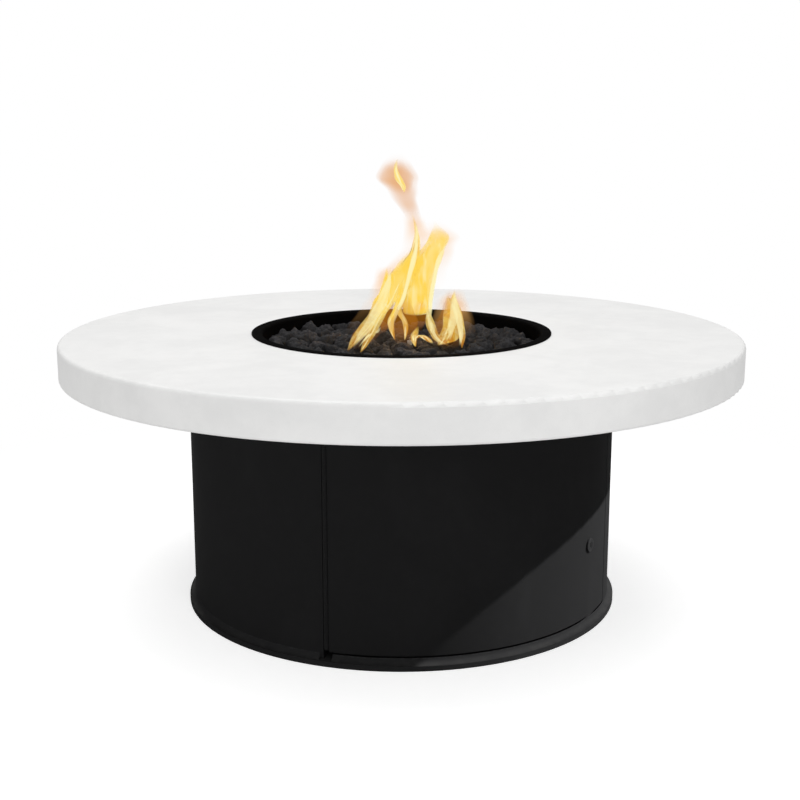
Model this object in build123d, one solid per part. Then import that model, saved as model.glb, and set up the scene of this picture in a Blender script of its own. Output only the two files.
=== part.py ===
from build123d import *
import math
import os
import random

import numpy
from scipy.spatial import HalfspaceIntersection

# Gas fire pit table: a cast concrete top on a rolled steel drum with a curved access door.
# Millimetres, +Z up, origin on the floor at the drum's centre. The front faces -Y, +X is to the right.
# Angles round the drum are counted from the front, positive towards +X.

# Concrete top
top_diameter = 1220.0
top_height = 490.0
top_edge_depth = 62.0
top_deck = 28.0
top_skirt = 30.0
top_arris = 7.0
top_lower_arris = 4.0
top_inner_round = 10.0
collar_width = 26.0
collar_drop = 14.0
rib_count = 8
rib_width = 26.0
rib_drop = 20.0

# Burner pan and its place in the top
pan_wall_diameter = 508.0
pan_flange_width = 18.0
pan_gauge = 2.0
pan_depth = 84.0
pan_lip_bend = 3.0
pan_floor_bend = 8.0
pan_hole_clearance = 6.0
drain_count = 6
drain_diameter = 8.0
drain_inset = 38.0

# Drum
drum_margin = 132.0
base_gauge = 2.5
return_depth = 24.0
top_ring_width = 60.0
top_ring_gauge = 6.0
foot_edge = 9.0
foot_lip = 11.0
foot_cove = 10.0
foot_ring_inner_width = 44.0
foot_flat = 0.75
foot_notch = 22.0
vent_angle = 155.0
vent_span = 16.0
vent_height = 90.0
vent_centre_height = 110.0
vent_overlap = 12.0
vent_gauge = 1.5
vent_slot_count = 6
vent_slot_width = 9.0

# Top fixings
fixing_count = 8
fixing_bolt_diameter = 8.0
fixing_head = 13.0
fixing_head_height = 5.3
insert_diameter = 16.0
insert_length = 18.0

# Access door
door_start = -18.5
door_end = 69.5
door_sill_gap = 3.0
door_head_gap = 3.0
door_headroom = 9.0
door_return = 22.0
latch_seam = 3.0
edge_round = 1.0

# Continuous hinge
hinge_barrel = 9.0
hinge_pin_diameter = 4.0
hinge_leaf_gauge = 1.5
hinge_leaf_width = 20.0
hinge_set_in = 2.5
hinge_end_gap = 4.0
knuckle_count = 15
knuckle_gap = 0.4
hinge_clearance = 0.3
pin_cap_height = 1.5
pin_cap_margin = 1.2
rivet_count = 6
rivet_diameter = 4.0
rivet_head = 7.2
rivet_head_height = 1.2
rivet_depth = 15.0

# Cam lock and its strike
lock_angle = 57.0
lock_height = 152.0
lock_body_diameter = 18.0
lock_bezel_diameter = 24.0
lock_bezel_height = 3.0
lock_plug_diameter = 12.0
lock_nut = 26.0
lock_nut_height = 5.0
key_slot_width = 1.8
key_slot_length = 8.0
key_slot_depth = 3.0
cam_gauge = 3.0
cam_width = 16.0
cam_square = 7.0
cam_overlap = 14.0
cam_clearance = 0.9
cam_screw_head = 11.0
cam_screw_head_height = 2.5
cam_screw_diameter = 4.0
cam_screw_length = 8.0
strike_gauge = 2.0
strike_reach = 50.0
strike_height = 64.0
strike_depth = 30.0
strike_leg = 20.0

# Ring burner
burner_ring_diameter = 300.0
burner_tube = 19.0
cross_tube = 16.0
burner_standoff = 12.5
burner_hub_diameter = 34.0
nipple_diameter = 21.3
nipple_bore = 15.0
nipple_length = 24.0
port_count = 30
port_diameter = 3.2
port_depth = 6.0
locknut = 36.0
locknut_height = 9.0

# Air mixer, jet and gas tube
mixer_length = 42.0
mixer_diameter = 34.0
mixer_neck_diameter = 30.0
mixer_neck_length = 16.0
mixer_window_width = 12.0
mixer_window_height = 14.0
mixer_window_lift = 6.0
jet_hex = 27.0
jet_length = 20.0
jet_socket_depth = 12.0
jet_bore = 3.0
gas_tube_diameter = 12.7
gas_tube_wall = 1.0
gas_tube_bend = 32.0

# Gas valve and control bracket, behind the door
control_setback = 46.0
bracket_gauge = 2.0
bracket_width = 112.0
bracket_tail = 50.0
bracket_tab = 34.0
bracket_bend = 4.0
bracket_corner = 10.0
bracket_bolt_diameter = 6.0
bracket_bolt_head = 10.0
bracket_bolt_head_height = 4.0
bracket_bolt_spacing = 70.0
control_spacing = 72.0
valve_width = 36.0
valve_depth = 40.0
valve_tall = 40.0
valve_round = 5.0
valve_neck_diameter = 16.0
valve_neck_length = 10.0
valve_nut = 24.0
valve_nut_height = 5.0
stem_diameter = 8.0
stem_depth = 20.0
stem_length = 48.0
knob_diameter = 36.0
knob_length = 22.0
knob_gap = 1.0
knob_flutes = 12
knob_flute_diameter = 6.0
knob_round = 2.0
knob_mark_width = 2.4
knob_mark_depth = 1.0
inlet_hex = 22.0
inlet_hex_height = 10.0
inlet_diameter = 15.88
inlet_length = 18.0
inlet_nose = 4.0
inlet_bore = 8.0
outlet_hex = 22.0
outlet_hex_length = 12.0

# Spark igniter
igniter_drop = 84.0
igniter_diameter = 20.0
igniter_length = 38.0
igniter_bezel_diameter = 28.0
igniter_bezel_height = 3.0
igniter_nut = 28.0
igniter_nut_height = 5.0
igniter_terminal_diameter = 3.2
igniter_terminal_length = 5.0
button_diameter = 14.0
button_proud = 6.0
button_travel = 4.0
button_length = 17.0
electrode_offset = 34.0
insulator_diameter = 8.0
insulator_collar_diameter = 14.0
insulator_collar_height = 4.0
insulator_tail = 14.0
electrode_diameter = 2.5
electrode_tip = 6.0
electrode_tail = 6.0
electrode_nut = 14.0
electrode_nut_height = 6.0

# Lava rock bed
rock_pitch = 42.0
rock_gap = 0.4
rock_drop = 14.0
rock_jitter = 0.11
rock_crown = 0.5
rock_crown_spread = 0.08
rock_lean = 0.25
rock_width = 0.75
rock_neighbourhood = 3.0
rock_chips = 7
chip_shake = 0.3
chip_rise = (22.0, 52.0)
chip_reach = (0.46, 0.6)
rock_seed = 11

# Clearances
running_fit = 0.05
seat_gap = 0.2
bolt_clearance = 0.3
drop_gap = 0.3
match_tolerance = 0.01

# Levels and radii that follow from the sizes above
top_radius = top_diameter / 2
deck_under = top_height - top_deck
skirt_bottom = top_height - top_edge_depth
base_radius = pan_wall_diameter / 2 + drum_margin
base_inner = base_radius - base_gauge
shell_top = deck_under - top_ring_gauge
ring_inner = base_radius - top_ring_width
fixing_radius = base_radius - top_ring_width / 2
door_bottom = foot_edge + foot_cove + door_sill_gap
door_top = skirt_bottom - door_headroom
header_bottom = door_top + door_head_gap
pan_radius = pan_wall_diameter / 2
pan_inner = pan_radius - pan_gauge
pan_rim = top_height + pan_gauge
pan_under = top_height - pan_depth
pan_floor = pan_under + pan_gauge
pan_hole_radius = pan_radius + pan_hole_clearance
hinge_radius = base_radius - hinge_set_in
hinge_seam = hinge_barrel / 2 + hinge_clearance
hinge_low = door_bottom + hinge_end_gap
hinge_high = door_top - hinge_end_gap
rivet_hole = rivet_diameter / 2 + running_fit
door_middle = (door_start + door_end) / 2
control_face = base_radius - control_setback
control_back = control_face - bracket_gauge
igniter_height = shell_top - igniter_drop
valve_height = igniter_height - control_spacing
bracket_low = valve_height - bracket_tail
burner_level = pan_floor + burner_standoff + burner_tube / 2
burner_top = burner_level + burner_tube / 2
nipple_low = pan_floor - nipple_length
mixer_top = pan_under - locknut_height - drop_gap
mixer_low = mixer_top - mixer_length
jet_low = mixer_low - jet_length
tube_end = jet_low + jet_socket_depth - drop_gap
bed_top = pan_rim - rock_drop


def turned(points):
    """A solid turned about the Z axis from its half section, given as radius and height."""
    corners = [(radius, 0, level) for radius, level in points]
    return revolve(make_face(Polyline(*corners, close=True)), Axis.Z)


def ring(inner, outer, low, high):
    """A flat ring about the Z axis."""
    return Pos(0, 0, low) * extrude(Circle(outer) - Circle(inner), high - low)


def band(inner, outer, low, high, start, end):
    """A stretch of ring wall between two angles round the drum."""
    section = [(inner, low), (outer, low), (outer, high), (inner, high)]
    corners = [(radius, 0, level) for radius, level in section]
    wall = revolve(make_face(Polyline(*corners, close=True)), Axis.Z, end - start)
    return Rot(0, 0, start - 90) * wall


def block(x_range, radial_range, z_range):
    """A block at the front: across, outward from the axis, and up."""
    wide = x_range[1] - x_range[0]
    deep = radial_range[1] - radial_range[0]
    tall = z_range[1] - z_range[0]
    centre = (sum(x_range) / 2, -sum(radial_range) / 2, sum(z_range) / 2)
    return Pos(*centre) * Box(wide, deep, tall)


def post(radius, low, high, x=0.0, y=0.0):
    """An upright round bar."""
    return Pos(x, y, low) * extrude(Circle(radius), high - low)


def outward(section, start, end, level):
    """A section pushed outward along the front radius, at a height."""
    place = Plane((0, -start, level), x_dir=(1, 0, 0), z_dir=(0, -1, 0))
    return place * extrude(section, end - start)


def crossways(radius, start, end, radial, level):
    """A round bar at the front lying across the radius."""
    place = Plane((start, -radial, level), x_dir=(0, 1, 0), z_dir=(1, 0, 0))
    return place * extrude(Circle(radius), end - start)


def hexagon(across_flats):
    return RegularPolygon(across_flats / 2, 6, major_radius=False)


def round_about(angle):
    """Takes a piece made at the front to an angle round the drum."""
    return Rot(0, 0, angle)


def spread(low, high, count):
    """Evenly spaced places, half a step in from both ends."""
    step = (high - low) / count
    return [low + step * (index + 0.5) for index in range(count)]


def ring_edges(solid, radius, level):
    """The circular edges of a turned solid at a radius and a height."""
    circles = solid.edges().filter_by(GeomType.CIRCLE)
    wide = [edge for edge in circles if abs(edge.radius - radius) < match_tolerance]
    return [edge for edge in wide if abs(edge.center().Z - level) < match_tolerance]


def save(node, *pieces):
    """Writes a node's separate solids to its own file."""
    solids = [solid for piece in pieces for solid in piece.solids()]
    export_step(Compound(solids), f"parts/{node}.step")


# Concrete top

def concrete_top():
    """A shell with a turned-down edge, a thicker collar round the pan and ribs under the overhang."""
    inside = top_radius - top_skirt
    collar = pan_hole_radius + collar_width
    corners = [
        (pan_hole_radius, deck_under - collar_drop),
        (collar, deck_under - collar_drop),
        (collar, deck_under),
        (inside, deck_under),
        (inside, skirt_bottom),
        (top_radius, skirt_bottom),
        (top_radius, top_height),
        (pan_hole_radius, top_height),
    ]
    shell = turned(corners)
    shell = fillet(ring_edges(shell, top_radius, top_height), top_arris)
    lower = ring_edges(shell, top_radius, skirt_bottom) + ring_edges(shell, inside, skirt_bottom)
    shell = fillet(lower, top_lower_arris)
    shell = fillet(ring_edges(shell, inside, deck_under), top_inner_round)
    rib = block((-rib_width / 2, rib_width / 2), (base_radius + foot_lip, inside + top_skirt / 2),
                (deck_under - rib_drop, deck_under + top_deck / 2))
    for index in range(rib_count):
        shell += round_about((index + 0.5) * 360 / rib_count) * rib
    for place in fixing_places():
        shell -= place * post(insert_diameter / 2, deck_under, deck_under + insert_length)
    return shell


def fixing_places():
    turns = [index * 360 / fixing_count for index in range(fixing_count)]
    return [round_about(turn) * Pos(0, -fixing_radius, 0) for turn in turns]


def top_insert():
    """A cast-in threaded bush, flush with the deck's underside."""
    bore = fixing_bolt_diameter / 2 + running_fit
    return ring(bore, insert_diameter / 2, deck_under, deck_under + insert_length)


def fixing_bolt():
    head_low = shell_top - fixing_head_height
    head = Pos(0, 0, head_low) * extrude(hexagon(fixing_head), fixing_head_height)
    shank = post(fixing_bolt_diameter / 2, shell_top, deck_under + insert_length - drop_gap)
    return head + shank


# Drum

def top_ring():
    """The flat ring that the top rests on, drilled for the fixings and the control bracket."""
    plate = ring(ring_inner, base_radius, shell_top, deck_under)
    for place in fixing_places():
        plate -= place * post(fixing_bolt_diameter / 2 + bolt_clearance, shell_top, deck_under)
    for place in bracket_bolt_places():
        plate -= place * post(bracket_bolt_diameter / 2 + running_fit, shell_top, deck_under)
    return plate


def base_shell():
    """The fixed wall, open for the door, with both edges turned in and two cut-outs at the back."""
    wall = band(base_inner, base_radius, foot_edge, shell_top, door_end, door_start + 360)
    hinge_cut = block((-hinge_seam, return_depth), (0, top_radius), (0, top_height))
    latch_cut = block((-return_depth, latch_seam / 2), (0, top_radius), (0, top_height))
    wall -= round_about(door_start) * hinge_cut
    wall -= round_about(door_end) * latch_cut
    depth = (base_radius - return_depth, base_radius - base_gauge / 2)
    tall = (foot_edge, shell_top)
    hinge_edge = block((-hinge_seam - base_gauge, -hinge_seam), depth, tall)
    latch_edge = block((latch_seam / 2, latch_seam / 2 + base_gauge), depth, tall)
    for level in rivet_levels():
        hinge_edge -= crossways(rivet_hole, -hinge_seam - base_gauge, -hinge_seam,
                                base_radius - rivet_depth, level)
    for level in strike_rivet_levels():
        latch_edge -= crossways(rivet_hole, latch_seam / 2, strike_face(), strike_rivet_radial(), level)
    wall += round_about(door_start) * hinge_edge
    wall += round_about(door_end) * latch_edge
    low = vent_centre_height - vent_height / 2
    for side in (-1, 1):
        start = side * vent_angle - vent_span / 2
        wall -= band(base_inner - base_gauge, base_radius + base_gauge, low, low + vent_height,
                     start, start + vent_span)
    return wall


def door_header():
    """The strip of wall over the door, turned in along its lower edge."""
    strip = band(base_inner, base_radius, header_bottom, shell_top, door_start, door_end)
    strip += band(base_radius - return_depth, base_radius, header_bottom, header_bottom + base_gauge,
                  door_start, door_end)
    hinge_cut = block((-top_radius, seat_gap - hinge_seam), (0, top_radius), (0, top_height))
    latch_cut = block((latch_seam / 2 - seat_gap, top_radius), (0, top_radius), (0, top_height))
    strip -= round_about(door_start) * hinge_cut
    strip -= round_about(door_end) * latch_cut
    return strip


def foot_ring():
    """The ring that the drum stands on: a lip that sweeps up to the wall in a cove, notched at the hinge."""
    lip = base_radius + foot_lip
    seat = base_radius + seat_gap
    cove_foot = min(seat + foot_cove, lip - foot_flat)
    cove_top = foot_edge + foot_cove
    inner = base_radius - foot_ring_inner_width
    sag = 1 - math.sqrt(1 / 2)
    bend = (seat + (cove_foot - seat) * sag, 0, foot_edge + foot_cove * sag)
    corners = [(seat, cove_top), (seat, foot_edge), (inner, foot_edge), (inner, 0),
               (lip, 0), (lip, foot_edge), (cove_foot, foot_edge)]
    outline = Polyline(*[(radius, 0, level) for radius, level in corners])
    cove = ThreePointArc((cove_foot, 0, foot_edge), bend, (seat, 0, cove_top))
    foot = revolve(make_face(outline.edges() + [cove]), Axis.Z)
    notch = block((-foot_notch / 2, foot_notch / 2), (base_inner, lip + foot_lip),
                  (foot_edge, cove_top + foot_cove))
    return foot - round_about(door_start) * notch


def vent_grille(side):
    """A slotted curved plate over a cut-out at the back of the drum."""
    margin = math.degrees(vent_overlap / base_radius)
    start = side * vent_angle - vent_span / 2
    low = vent_centre_height - vent_height / 2
    inner = base_radius + seat_gap
    plate = band(inner, inner + vent_gauge, low - vent_overlap, low + vent_height + vent_overlap,
                 start - margin, start + vent_span + margin)
    slot = SlotOverall(vent_height, vent_slot_width, rotation=90)
    for angle in spread(start, start + vent_span, vent_slot_count):
        plate -= round_about(angle) * outward(slot, base_radius, inner + 2 * vent_gauge, vent_centre_height)
    return plate


# Access door and hinge

def access_door():
    """A curved sheet door, turned in on all four edges."""
    panel = band(base_inner, base_radius, door_bottom, door_top, door_start, door_end)
    inner = base_radius - door_return
    panel += band(inner, base_radius, door_bottom, door_bottom + base_gauge, door_start, door_end)
    panel += band(inner, base_radius, door_top - base_gauge, door_top, door_start, door_end)
    hinge_cut = block((-top_radius, hinge_seam), (0, top_radius), (0, top_height))
    latch_cut = block((-latch_seam / 2, top_radius), (0, top_radius), (0, top_height))
    panel -= round_about(door_start) * hinge_cut
    panel -= round_about(door_end) * latch_cut
    depth = (inner, base_radius - base_gauge / 2)
    tall = (door_bottom, door_top)
    hinge_edge = block((hinge_seam, hinge_seam + base_gauge), depth, tall)
    latch_edge = block((-latch_seam / 2 - base_gauge, -latch_seam / 2), depth, tall)
    panel += round_about(door_start) * hinge_edge
    panel += round_about(door_end) * latch_edge
    for level in rivet_levels():
        hole = crossways(rivet_hole, hinge_seam, hinge_seam + base_gauge, base_radius - rivet_depth, level)
        panel -= round_about(door_start) * hole
    lock_hole = Circle(lock_body_diameter / 2 + bolt_clearance)
    lock_hole = outward(lock_hole, base_inner - base_gauge, base_radius + base_gauge, lock_height)
    return panel - round_about(lock_angle) * lock_hole


def rivet_levels():
    return spread(hinge_low, hinge_high, rivet_count)


def knuckle_levels():
    step = (hinge_high - hinge_low) / knuckle_count
    lows = [hinge_low + step * index for index in range(knuckle_count)]
    return [(low, low + step - knuckle_gap) for low in lows]


def hinge_leaf(side):
    """One leaf of the continuous hinge: side -1 is fixed to the drum, side 1 to the door."""
    inner = hinge_radius - hinge_leaf_width
    face = sorted((side * hinge_seam, side * (hinge_seam - hinge_leaf_gauge)))
    leaf = block(face, (inner, hinge_radius), (hinge_low, hinge_high - knuckle_gap))
    barrel = hinge_barrel / 2
    bore = hinge_pin_diameter / 2 + running_fit
    for index, (low, high) in enumerate(knuckle_levels()):
        is_mine = (index % 2 == 0) == (side < 0)
        if is_mine:
            leaf += post(barrel, low, high, 0, -hinge_radius)
        else:
            leaf -= post(barrel + hinge_clearance, low - knuckle_gap, high + knuckle_gap, 0, -hinge_radius)
    leaf -= post(bore, hinge_low, hinge_high, 0, -hinge_radius)
    for level in rivet_levels():
        leaf -= crossways(rivet_hole, face[0], face[1], base_radius - rivet_depth, level)
    return round_about(door_start) * leaf


def hinge_pin():
    """The hinge's pin, with a flat cap at each end."""
    cap = hinge_pin_diameter / 2 + pin_cap_margin
    low = hinge_low - seat_gap
    high = hinge_high - knuckle_gap + seat_gap
    pin = post(hinge_pin_diameter / 2, low, high, 0, -hinge_radius)
    pin += post(cap, low - pin_cap_height, low, 0, -hinge_radius)
    pin += post(cap, high, high + pin_cap_height, 0, -hinge_radius)
    return round_about(door_start) * pin


def rivet(inside, outside, radial, level):
    """A rivet across the radius, clamping from one face to another."""
    pin = crossways(rivet_diameter / 2, inside, outside, radial, level)
    pin += crossways(rivet_head / 2, inside - rivet_head_height, inside, radial, level)
    pin += crossways(rivet_head / 2, outside, outside + rivet_head_height, radial, level)
    return pin


def hinge_rivets(side):
    faces = sorted((side * (hinge_seam - hinge_leaf_gauge), side * (hinge_seam + base_gauge)))
    radial = base_radius - rivet_depth
    return [round_about(door_start) * rivet(faces[0], faces[1], radial, level) for level in rivet_levels()]


# Cam lock and strike

def strike_rivet_radial():
    return base_radius - strike_depth + strike_leg - rivet_head / 2 - strike_gauge


def strike_rivet_levels():
    return spread(lock_height - strike_height / 2, lock_height + strike_height / 2, 2)


def strike_face():
    return latch_seam / 2 + base_gauge


def lock_strike():
    """An angle behind the drum's edge, reaching in behind the door for the cam."""
    near = strike_face()
    inner = base_radius - strike_depth
    tall = (lock_height - strike_height / 2, lock_height + strike_height / 2)
    angle = block((near, near + strike_gauge), (inner, inner + strike_leg), tall)
    angle += block((-strike_reach, near + strike_gauge), (inner, inner + strike_gauge), tall)
    for level in strike_rivet_levels():
        angle -= crossways(rivet_hole, near, near + strike_gauge, strike_rivet_radial(), level)
    return round_about(door_end) * angle


def strike_rivets():
    inside = latch_seam / 2
    outside = strike_face() + strike_gauge
    radial = strike_rivet_radial()
    flush = crossways(top_radius, -top_radius, inside, radial, lock_height)
    rivets = [rivet(inside, outside, radial, level) - flush for level in strike_rivet_levels()]
    return [round_about(door_end) * piece for piece in rivets]


def cam_place():
    """How far the cam reaches from the lock's axis, and the radius of the face that meets the strike."""
    turn = math.radians(door_end - lock_angle)
    inner = base_radius - strike_depth
    strike_edge = inner * math.sin(turn) - strike_reach * math.cos(turn)
    reach = strike_edge + cam_overlap
    along = (reach - inner * math.sin(turn)) / math.cos(turn)
    face = inner * math.cos(turn) - along * math.sin(turn) - cam_clearance
    return reach, face


def lock_housing():
    """The lock's fixed sleeve with its outer bezel."""
    reach, face = cam_place()
    bore = Circle(lock_plug_diameter / 2 + running_fit)
    front = base_radius + lock_bezel_height
    bezel = outward(Circle(lock_bezel_diameter / 2), base_radius, front, lock_height)
    bezel = fillet(bezel.edges().group_by(Axis.Y)[0], edge_round)
    sleeve = bezel + outward(Circle(lock_body_diameter / 2), face + drop_gap, base_radius, lock_height)
    sleeve -= outward(bore, face, front, lock_height)
    return round_about(lock_angle) * sleeve


def lock_nut_ring():
    corner = lock_nut / math.sqrt(3)
    outside = math.sqrt(base_inner ** 2 - corner ** 2)
    section = hexagon(lock_nut) - Circle(lock_body_diameter / 2 + running_fit)
    return round_about(lock_angle) * outward(section, outside - lock_nut_height, outside, lock_height)


def lock_plug():
    """The turning plug, slotted for a key, with a square end for the cam."""
    reach, face = cam_place()
    outside = base_radius + lock_bezel_height - edge_round / 2
    plug = outward(Circle(lock_plug_diameter / 2), face, outside, lock_height)
    plug += outward(Rectangle(cam_square, cam_square), face - cam_gauge, face, lock_height)
    slot = Rectangle(key_slot_width, key_slot_length)
    plug -= outward(slot, outside - key_slot_depth, outside, lock_height)
    thread = Circle(cam_screw_diameter / 2 + running_fit)
    plug -= outward(thread, face - cam_gauge, face - cam_gauge + cam_screw_length, lock_height)
    return round_about(lock_angle) * plug


def lock_cam():
    """The cam, hanging down while unlocked."""
    reach, face = cam_place()
    blade = SlotCenterToCenter(reach - cam_width / 2, cam_width, rotation=90)
    section = Pos(0, -(reach - cam_width / 2) / 2) * blade
    section -= Rectangle(cam_square + 2 * running_fit, cam_square + 2 * running_fit)
    return round_about(lock_angle) * outward(section, face - cam_gauge, face, lock_height)


def cam_screw():
    reach, face = cam_place()
    seat = face - cam_gauge
    screw = outward(Circle(cam_screw_head / 2), seat - cam_screw_head_height, seat, lock_height)
    screw += outward(Circle(cam_screw_diameter / 2), seat, seat + cam_screw_length - drop_gap, lock_height)
    return round_about(lock_angle) * screw


# Burner

def electrode_place():
    return round_about(door_middle) * Pos(0, -electrode_offset, 0)


def fire_pan():
    """A spun drop-in pan: its flange lies on the concrete round the opening."""
    flange = pan_radius + pan_flange_width
    corners = [(0, pan_under), (pan_radius, pan_under), (pan_radius, top_height), (flange, top_height),
               (flange, pan_rim), (pan_inner, pan_rim), (pan_inner, pan_floor), (0, pan_floor)]
    pan = turned(corners)
    bends = [(pan_radius, top_height, pan_lip_bend), (pan_inner, pan_rim, pan_lip_bend + pan_gauge),
             (pan_radius, pan_under, pan_floor_bend + pan_gauge), (pan_inner, pan_floor, pan_floor_bend)]
    for radius, level, bend in bends:
        pan = fillet(ring_edges(pan, radius, level), bend)
    pan -= post(nipple_diameter / 2 + bolt_clearance, pan_under, pan_floor)
    pan -= electrode_place() * post(insulator_diameter / 2 + bolt_clearance, pan_under, pan_floor)
    for index in range(drain_count):
        drain = post(drain_diameter / 2, pan_under, pan_floor, 0, drain_inset - pan_inner)
        pan -= round_about((index + 0.5) * 360 / drain_count) * drain
    return pan


def burner():
    """The welded burner: a drilled ring, one cross tube and a hub whose nipple goes through the pan."""
    ring_radius = burner_ring_diameter / 2
    body = Pos(0, 0, burner_level) * Rot(0, 0, 45) * Torus(ring_radius, burner_tube / 2)
    across = extrude(Circle(cross_tube / 2), burner_ring_diameter)
    body += Plane((-ring_radius, 0, burner_level), z_dir=(1, 0, 0)) * across
    body += post(burner_hub_diameter / 2, pan_floor, burner_top)
    body += post(nipple_diameter / 2, nipple_low, pan_floor)
    body -= post(nipple_bore / 2, nipple_low, burner_level)
    port = post(port_diameter / 2, burner_top - port_depth, burner_top, ring_radius, 0)
    ports = [round_about((index + 0.5) * 360 / port_count) * port for index in range(port_count)]
    return body - ports


def burner_locknut():
    section = hexagon(locknut) - Circle(nipple_diameter / 2 + running_fit)
    return Pos(0, 0, pan_under - locknut_height) * extrude(section, locknut_height)


def air_mixer():
    """The mixing tube under the burner, with air windows near the jet."""
    wide = mixer_diameter / 2
    neck = mixer_neck_diameter / 2
    socket = nipple_diameter / 2 + running_fit
    shoulder = nipple_low - drop_gap
    taper = mixer_top - mixer_neck_length
    bore = nipple_bore / 2
    body = turned([(bore, mixer_low), (wide, mixer_low), (wide, taper - (wide - neck)), (neck, taper),
                   (neck, mixer_top), (socket, mixer_top), (socket, shoulder), (bore, shoulder)])
    low = mixer_low + mixer_window_lift
    window = block((-mixer_window_width / 2, mixer_window_width / 2), (-mixer_diameter, mixer_diameter),
                   (low, low + mixer_window_height))
    return body - [window, Rot(0, 0, 90) * window]


def jet_fitting():
    body = Pos(0, 0, jet_low) * extrude(hexagon(jet_hex), jet_length)
    socket = gas_tube_diameter / 2 + running_fit
    body -= post(socket, jet_low, jet_low + jet_socket_depth)
    return body - post(jet_bore / 2, jet_low, mixer_low)


def gas_tube():
    """The rigid tube from the valve to the jet, with one bend under the burner."""
    start = control_back - valve_depth - drop_gap
    corner = (0, 0, valve_height)
    path = FilletPolyline((0, -start, valve_height), corner, (0, 0, tube_end), radius=gas_tube_bend)
    section = Circle(gas_tube_diameter / 2) - Circle(gas_tube_diameter / 2 - gas_tube_wall)
    tube = sweep(Plane((0, -start, valve_height), z_dir=(0, 1, 0)) * section, path)
    return round_about(door_middle) * tube


# Controls

def bracket_bolt_places():
    radial = control_back + bracket_tab - bracket_bolt_head
    side = bracket_bolt_spacing / 2
    return [round_about(door_middle) * Pos(x, -radial, 0) for x in (-side, side)]


def control_bracket():
    """A bent plate hung from the top ring, behind the door."""
    top = shell_top
    outline = [(control_back, bracket_low), (control_face, bracket_low),
               (control_face, top - bracket_gauge), (control_back + bracket_tab, top - bracket_gauge),
               (control_back + bracket_tab, top), (control_back, top)]
    corners = [(-bracket_width / 2, -radial, level) for radial, level in outline]
    plate = extrude(make_face(Polyline(*corners, close=True)), bracket_width, dir=(1, 0, 0))
    uprights = plate.edges().filter_by(Axis.X)
    outer = uprights.sort_by_distance((0, -control_back, top))[0]
    inner = uprights.sort_by_distance((0, -control_face, top - bracket_gauge))[0]
    plate = fillet([outer], bracket_bend)
    nearest = plate.edges().filter_by(Axis.X).sort_by_distance(inner.center())[0]
    plate = fillet([nearest], bracket_bend - bracket_gauge)
    plate = fillet(plate.edges().filter_by(Axis.Y).group_by(Axis.Z)[0], bracket_corner)
    back = control_back - bracket_gauge
    front = control_face + bracket_gauge
    plate -= outward(Circle(valve_neck_diameter / 2 + seat_gap), back, front, valve_height)
    plate -= outward(Circle(igniter_diameter / 2 + seat_gap), back, front, igniter_height)
    plate = round_about(door_middle) * plate
    for place in bracket_bolt_places():
        plate -= place * post(bracket_bolt_diameter / 2 + bolt_clearance, top - bracket_gauge, top)
    return plate


def bracket_bolt():
    seat = shell_top - bracket_gauge
    low = seat - bracket_bolt_head_height
    head = post(bracket_bolt_head / 2, low, seat)
    socket = Pos(0, 0, low) * extrude(hexagon(bracket_bolt_head / 2), bracket_gauge)
    return head - socket + post(bracket_bolt_diameter / 2, seat, deck_under - drop_gap)


def valve_body():
    """The gas valve: a block with a threaded neck that goes through the bracket."""
    half = valve_width / 2
    tall = (valve_height - valve_tall / 2, valve_height + valve_tall / 2)
    body = block((-half, half), (control_back - valve_depth, control_back), tall)
    body = fillet(body.edges().filter_by(Axis.Y), valve_round)
    neck_end = control_back + valve_neck_length
    body += outward(Circle(valve_neck_diameter / 2), control_back, neck_end, valve_height)
    bore = Circle(stem_diameter / 2 + running_fit)
    body -= outward(bore, control_back - stem_depth - drop_gap, neck_end, valve_height)
    return round_about(door_middle) * body


def valve_lock_nut():
    section = hexagon(valve_nut) - Circle(valve_neck_diameter / 2 + running_fit)
    nut = outward(section, control_face, control_face + valve_nut_height, valve_height)
    return round_about(door_middle) * nut


def valve_stem():
    start = control_back - stem_depth
    stem = outward(Circle(stem_diameter / 2), start, start + stem_length, valve_height)
    return round_about(door_middle) * stem


def control_knob():
    """A fluted knob with a pointer groove on its face."""
    start = control_back + valve_neck_length + knob_gap
    end = start + knob_length
    grip = Circle(knob_diameter / 2)
    for index in range(knob_flutes):
        flute = Pos(knob_diameter / 2 + knob_flute_diameter / 4, 0) * Circle(knob_flute_diameter / 2)
        grip -= Rot(0, 0, (index + 0.5) * 360 / knob_flutes) * flute
    knob = outward(grip, start, end, valve_height)
    knob = fillet(knob.edges().group_by(Axis.Y)[0], knob_round)
    mark = Pos(0, knob_diameter / 4) * Rectangle(knob_mark_width, knob_diameter / 2)
    knob -= outward(mark, end - knob_mark_depth, end, valve_height)
    stem_end = control_back - stem_depth + stem_length
    bore = Circle(stem_diameter / 2 + running_fit)
    knob -= outward(bore, start, stem_end + drop_gap, valve_height)
    return round_about(door_middle) * knob


def inlet_fitting():
    """The male gas connection under the valve, open to a supply that comes up from below."""
    top = valve_height - valve_tall / 2
    thread_top = top - inlet_hex_height
    thread_low = thread_top - inlet_length
    wide = inlet_diameter / 2
    bore = inlet_bore / 2
    fitting = Pos(0, 0, thread_top) * extrude(hexagon(inlet_hex), inlet_hex_height)
    nose = bore + (wide - bore) / 3
    fitting += turned([(0, thread_low - inlet_nose), (nose, thread_low - inlet_nose), (wide, thread_low),
                       (wide, thread_top), (0, thread_top)])
    fitting -= post(bore, thread_low - inlet_nose, top)
    return round_about(door_middle) * Pos(0, valve_depth / 2 - control_back, 0) * fitting


def outlet_nut():
    start = control_back - valve_depth
    section = hexagon(outlet_hex) - Circle(gas_tube_diameter / 2 + running_fit)
    return round_about(door_middle) * outward(section, start - outlet_hex_length, start, valve_height)


# Spark igniter

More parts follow.
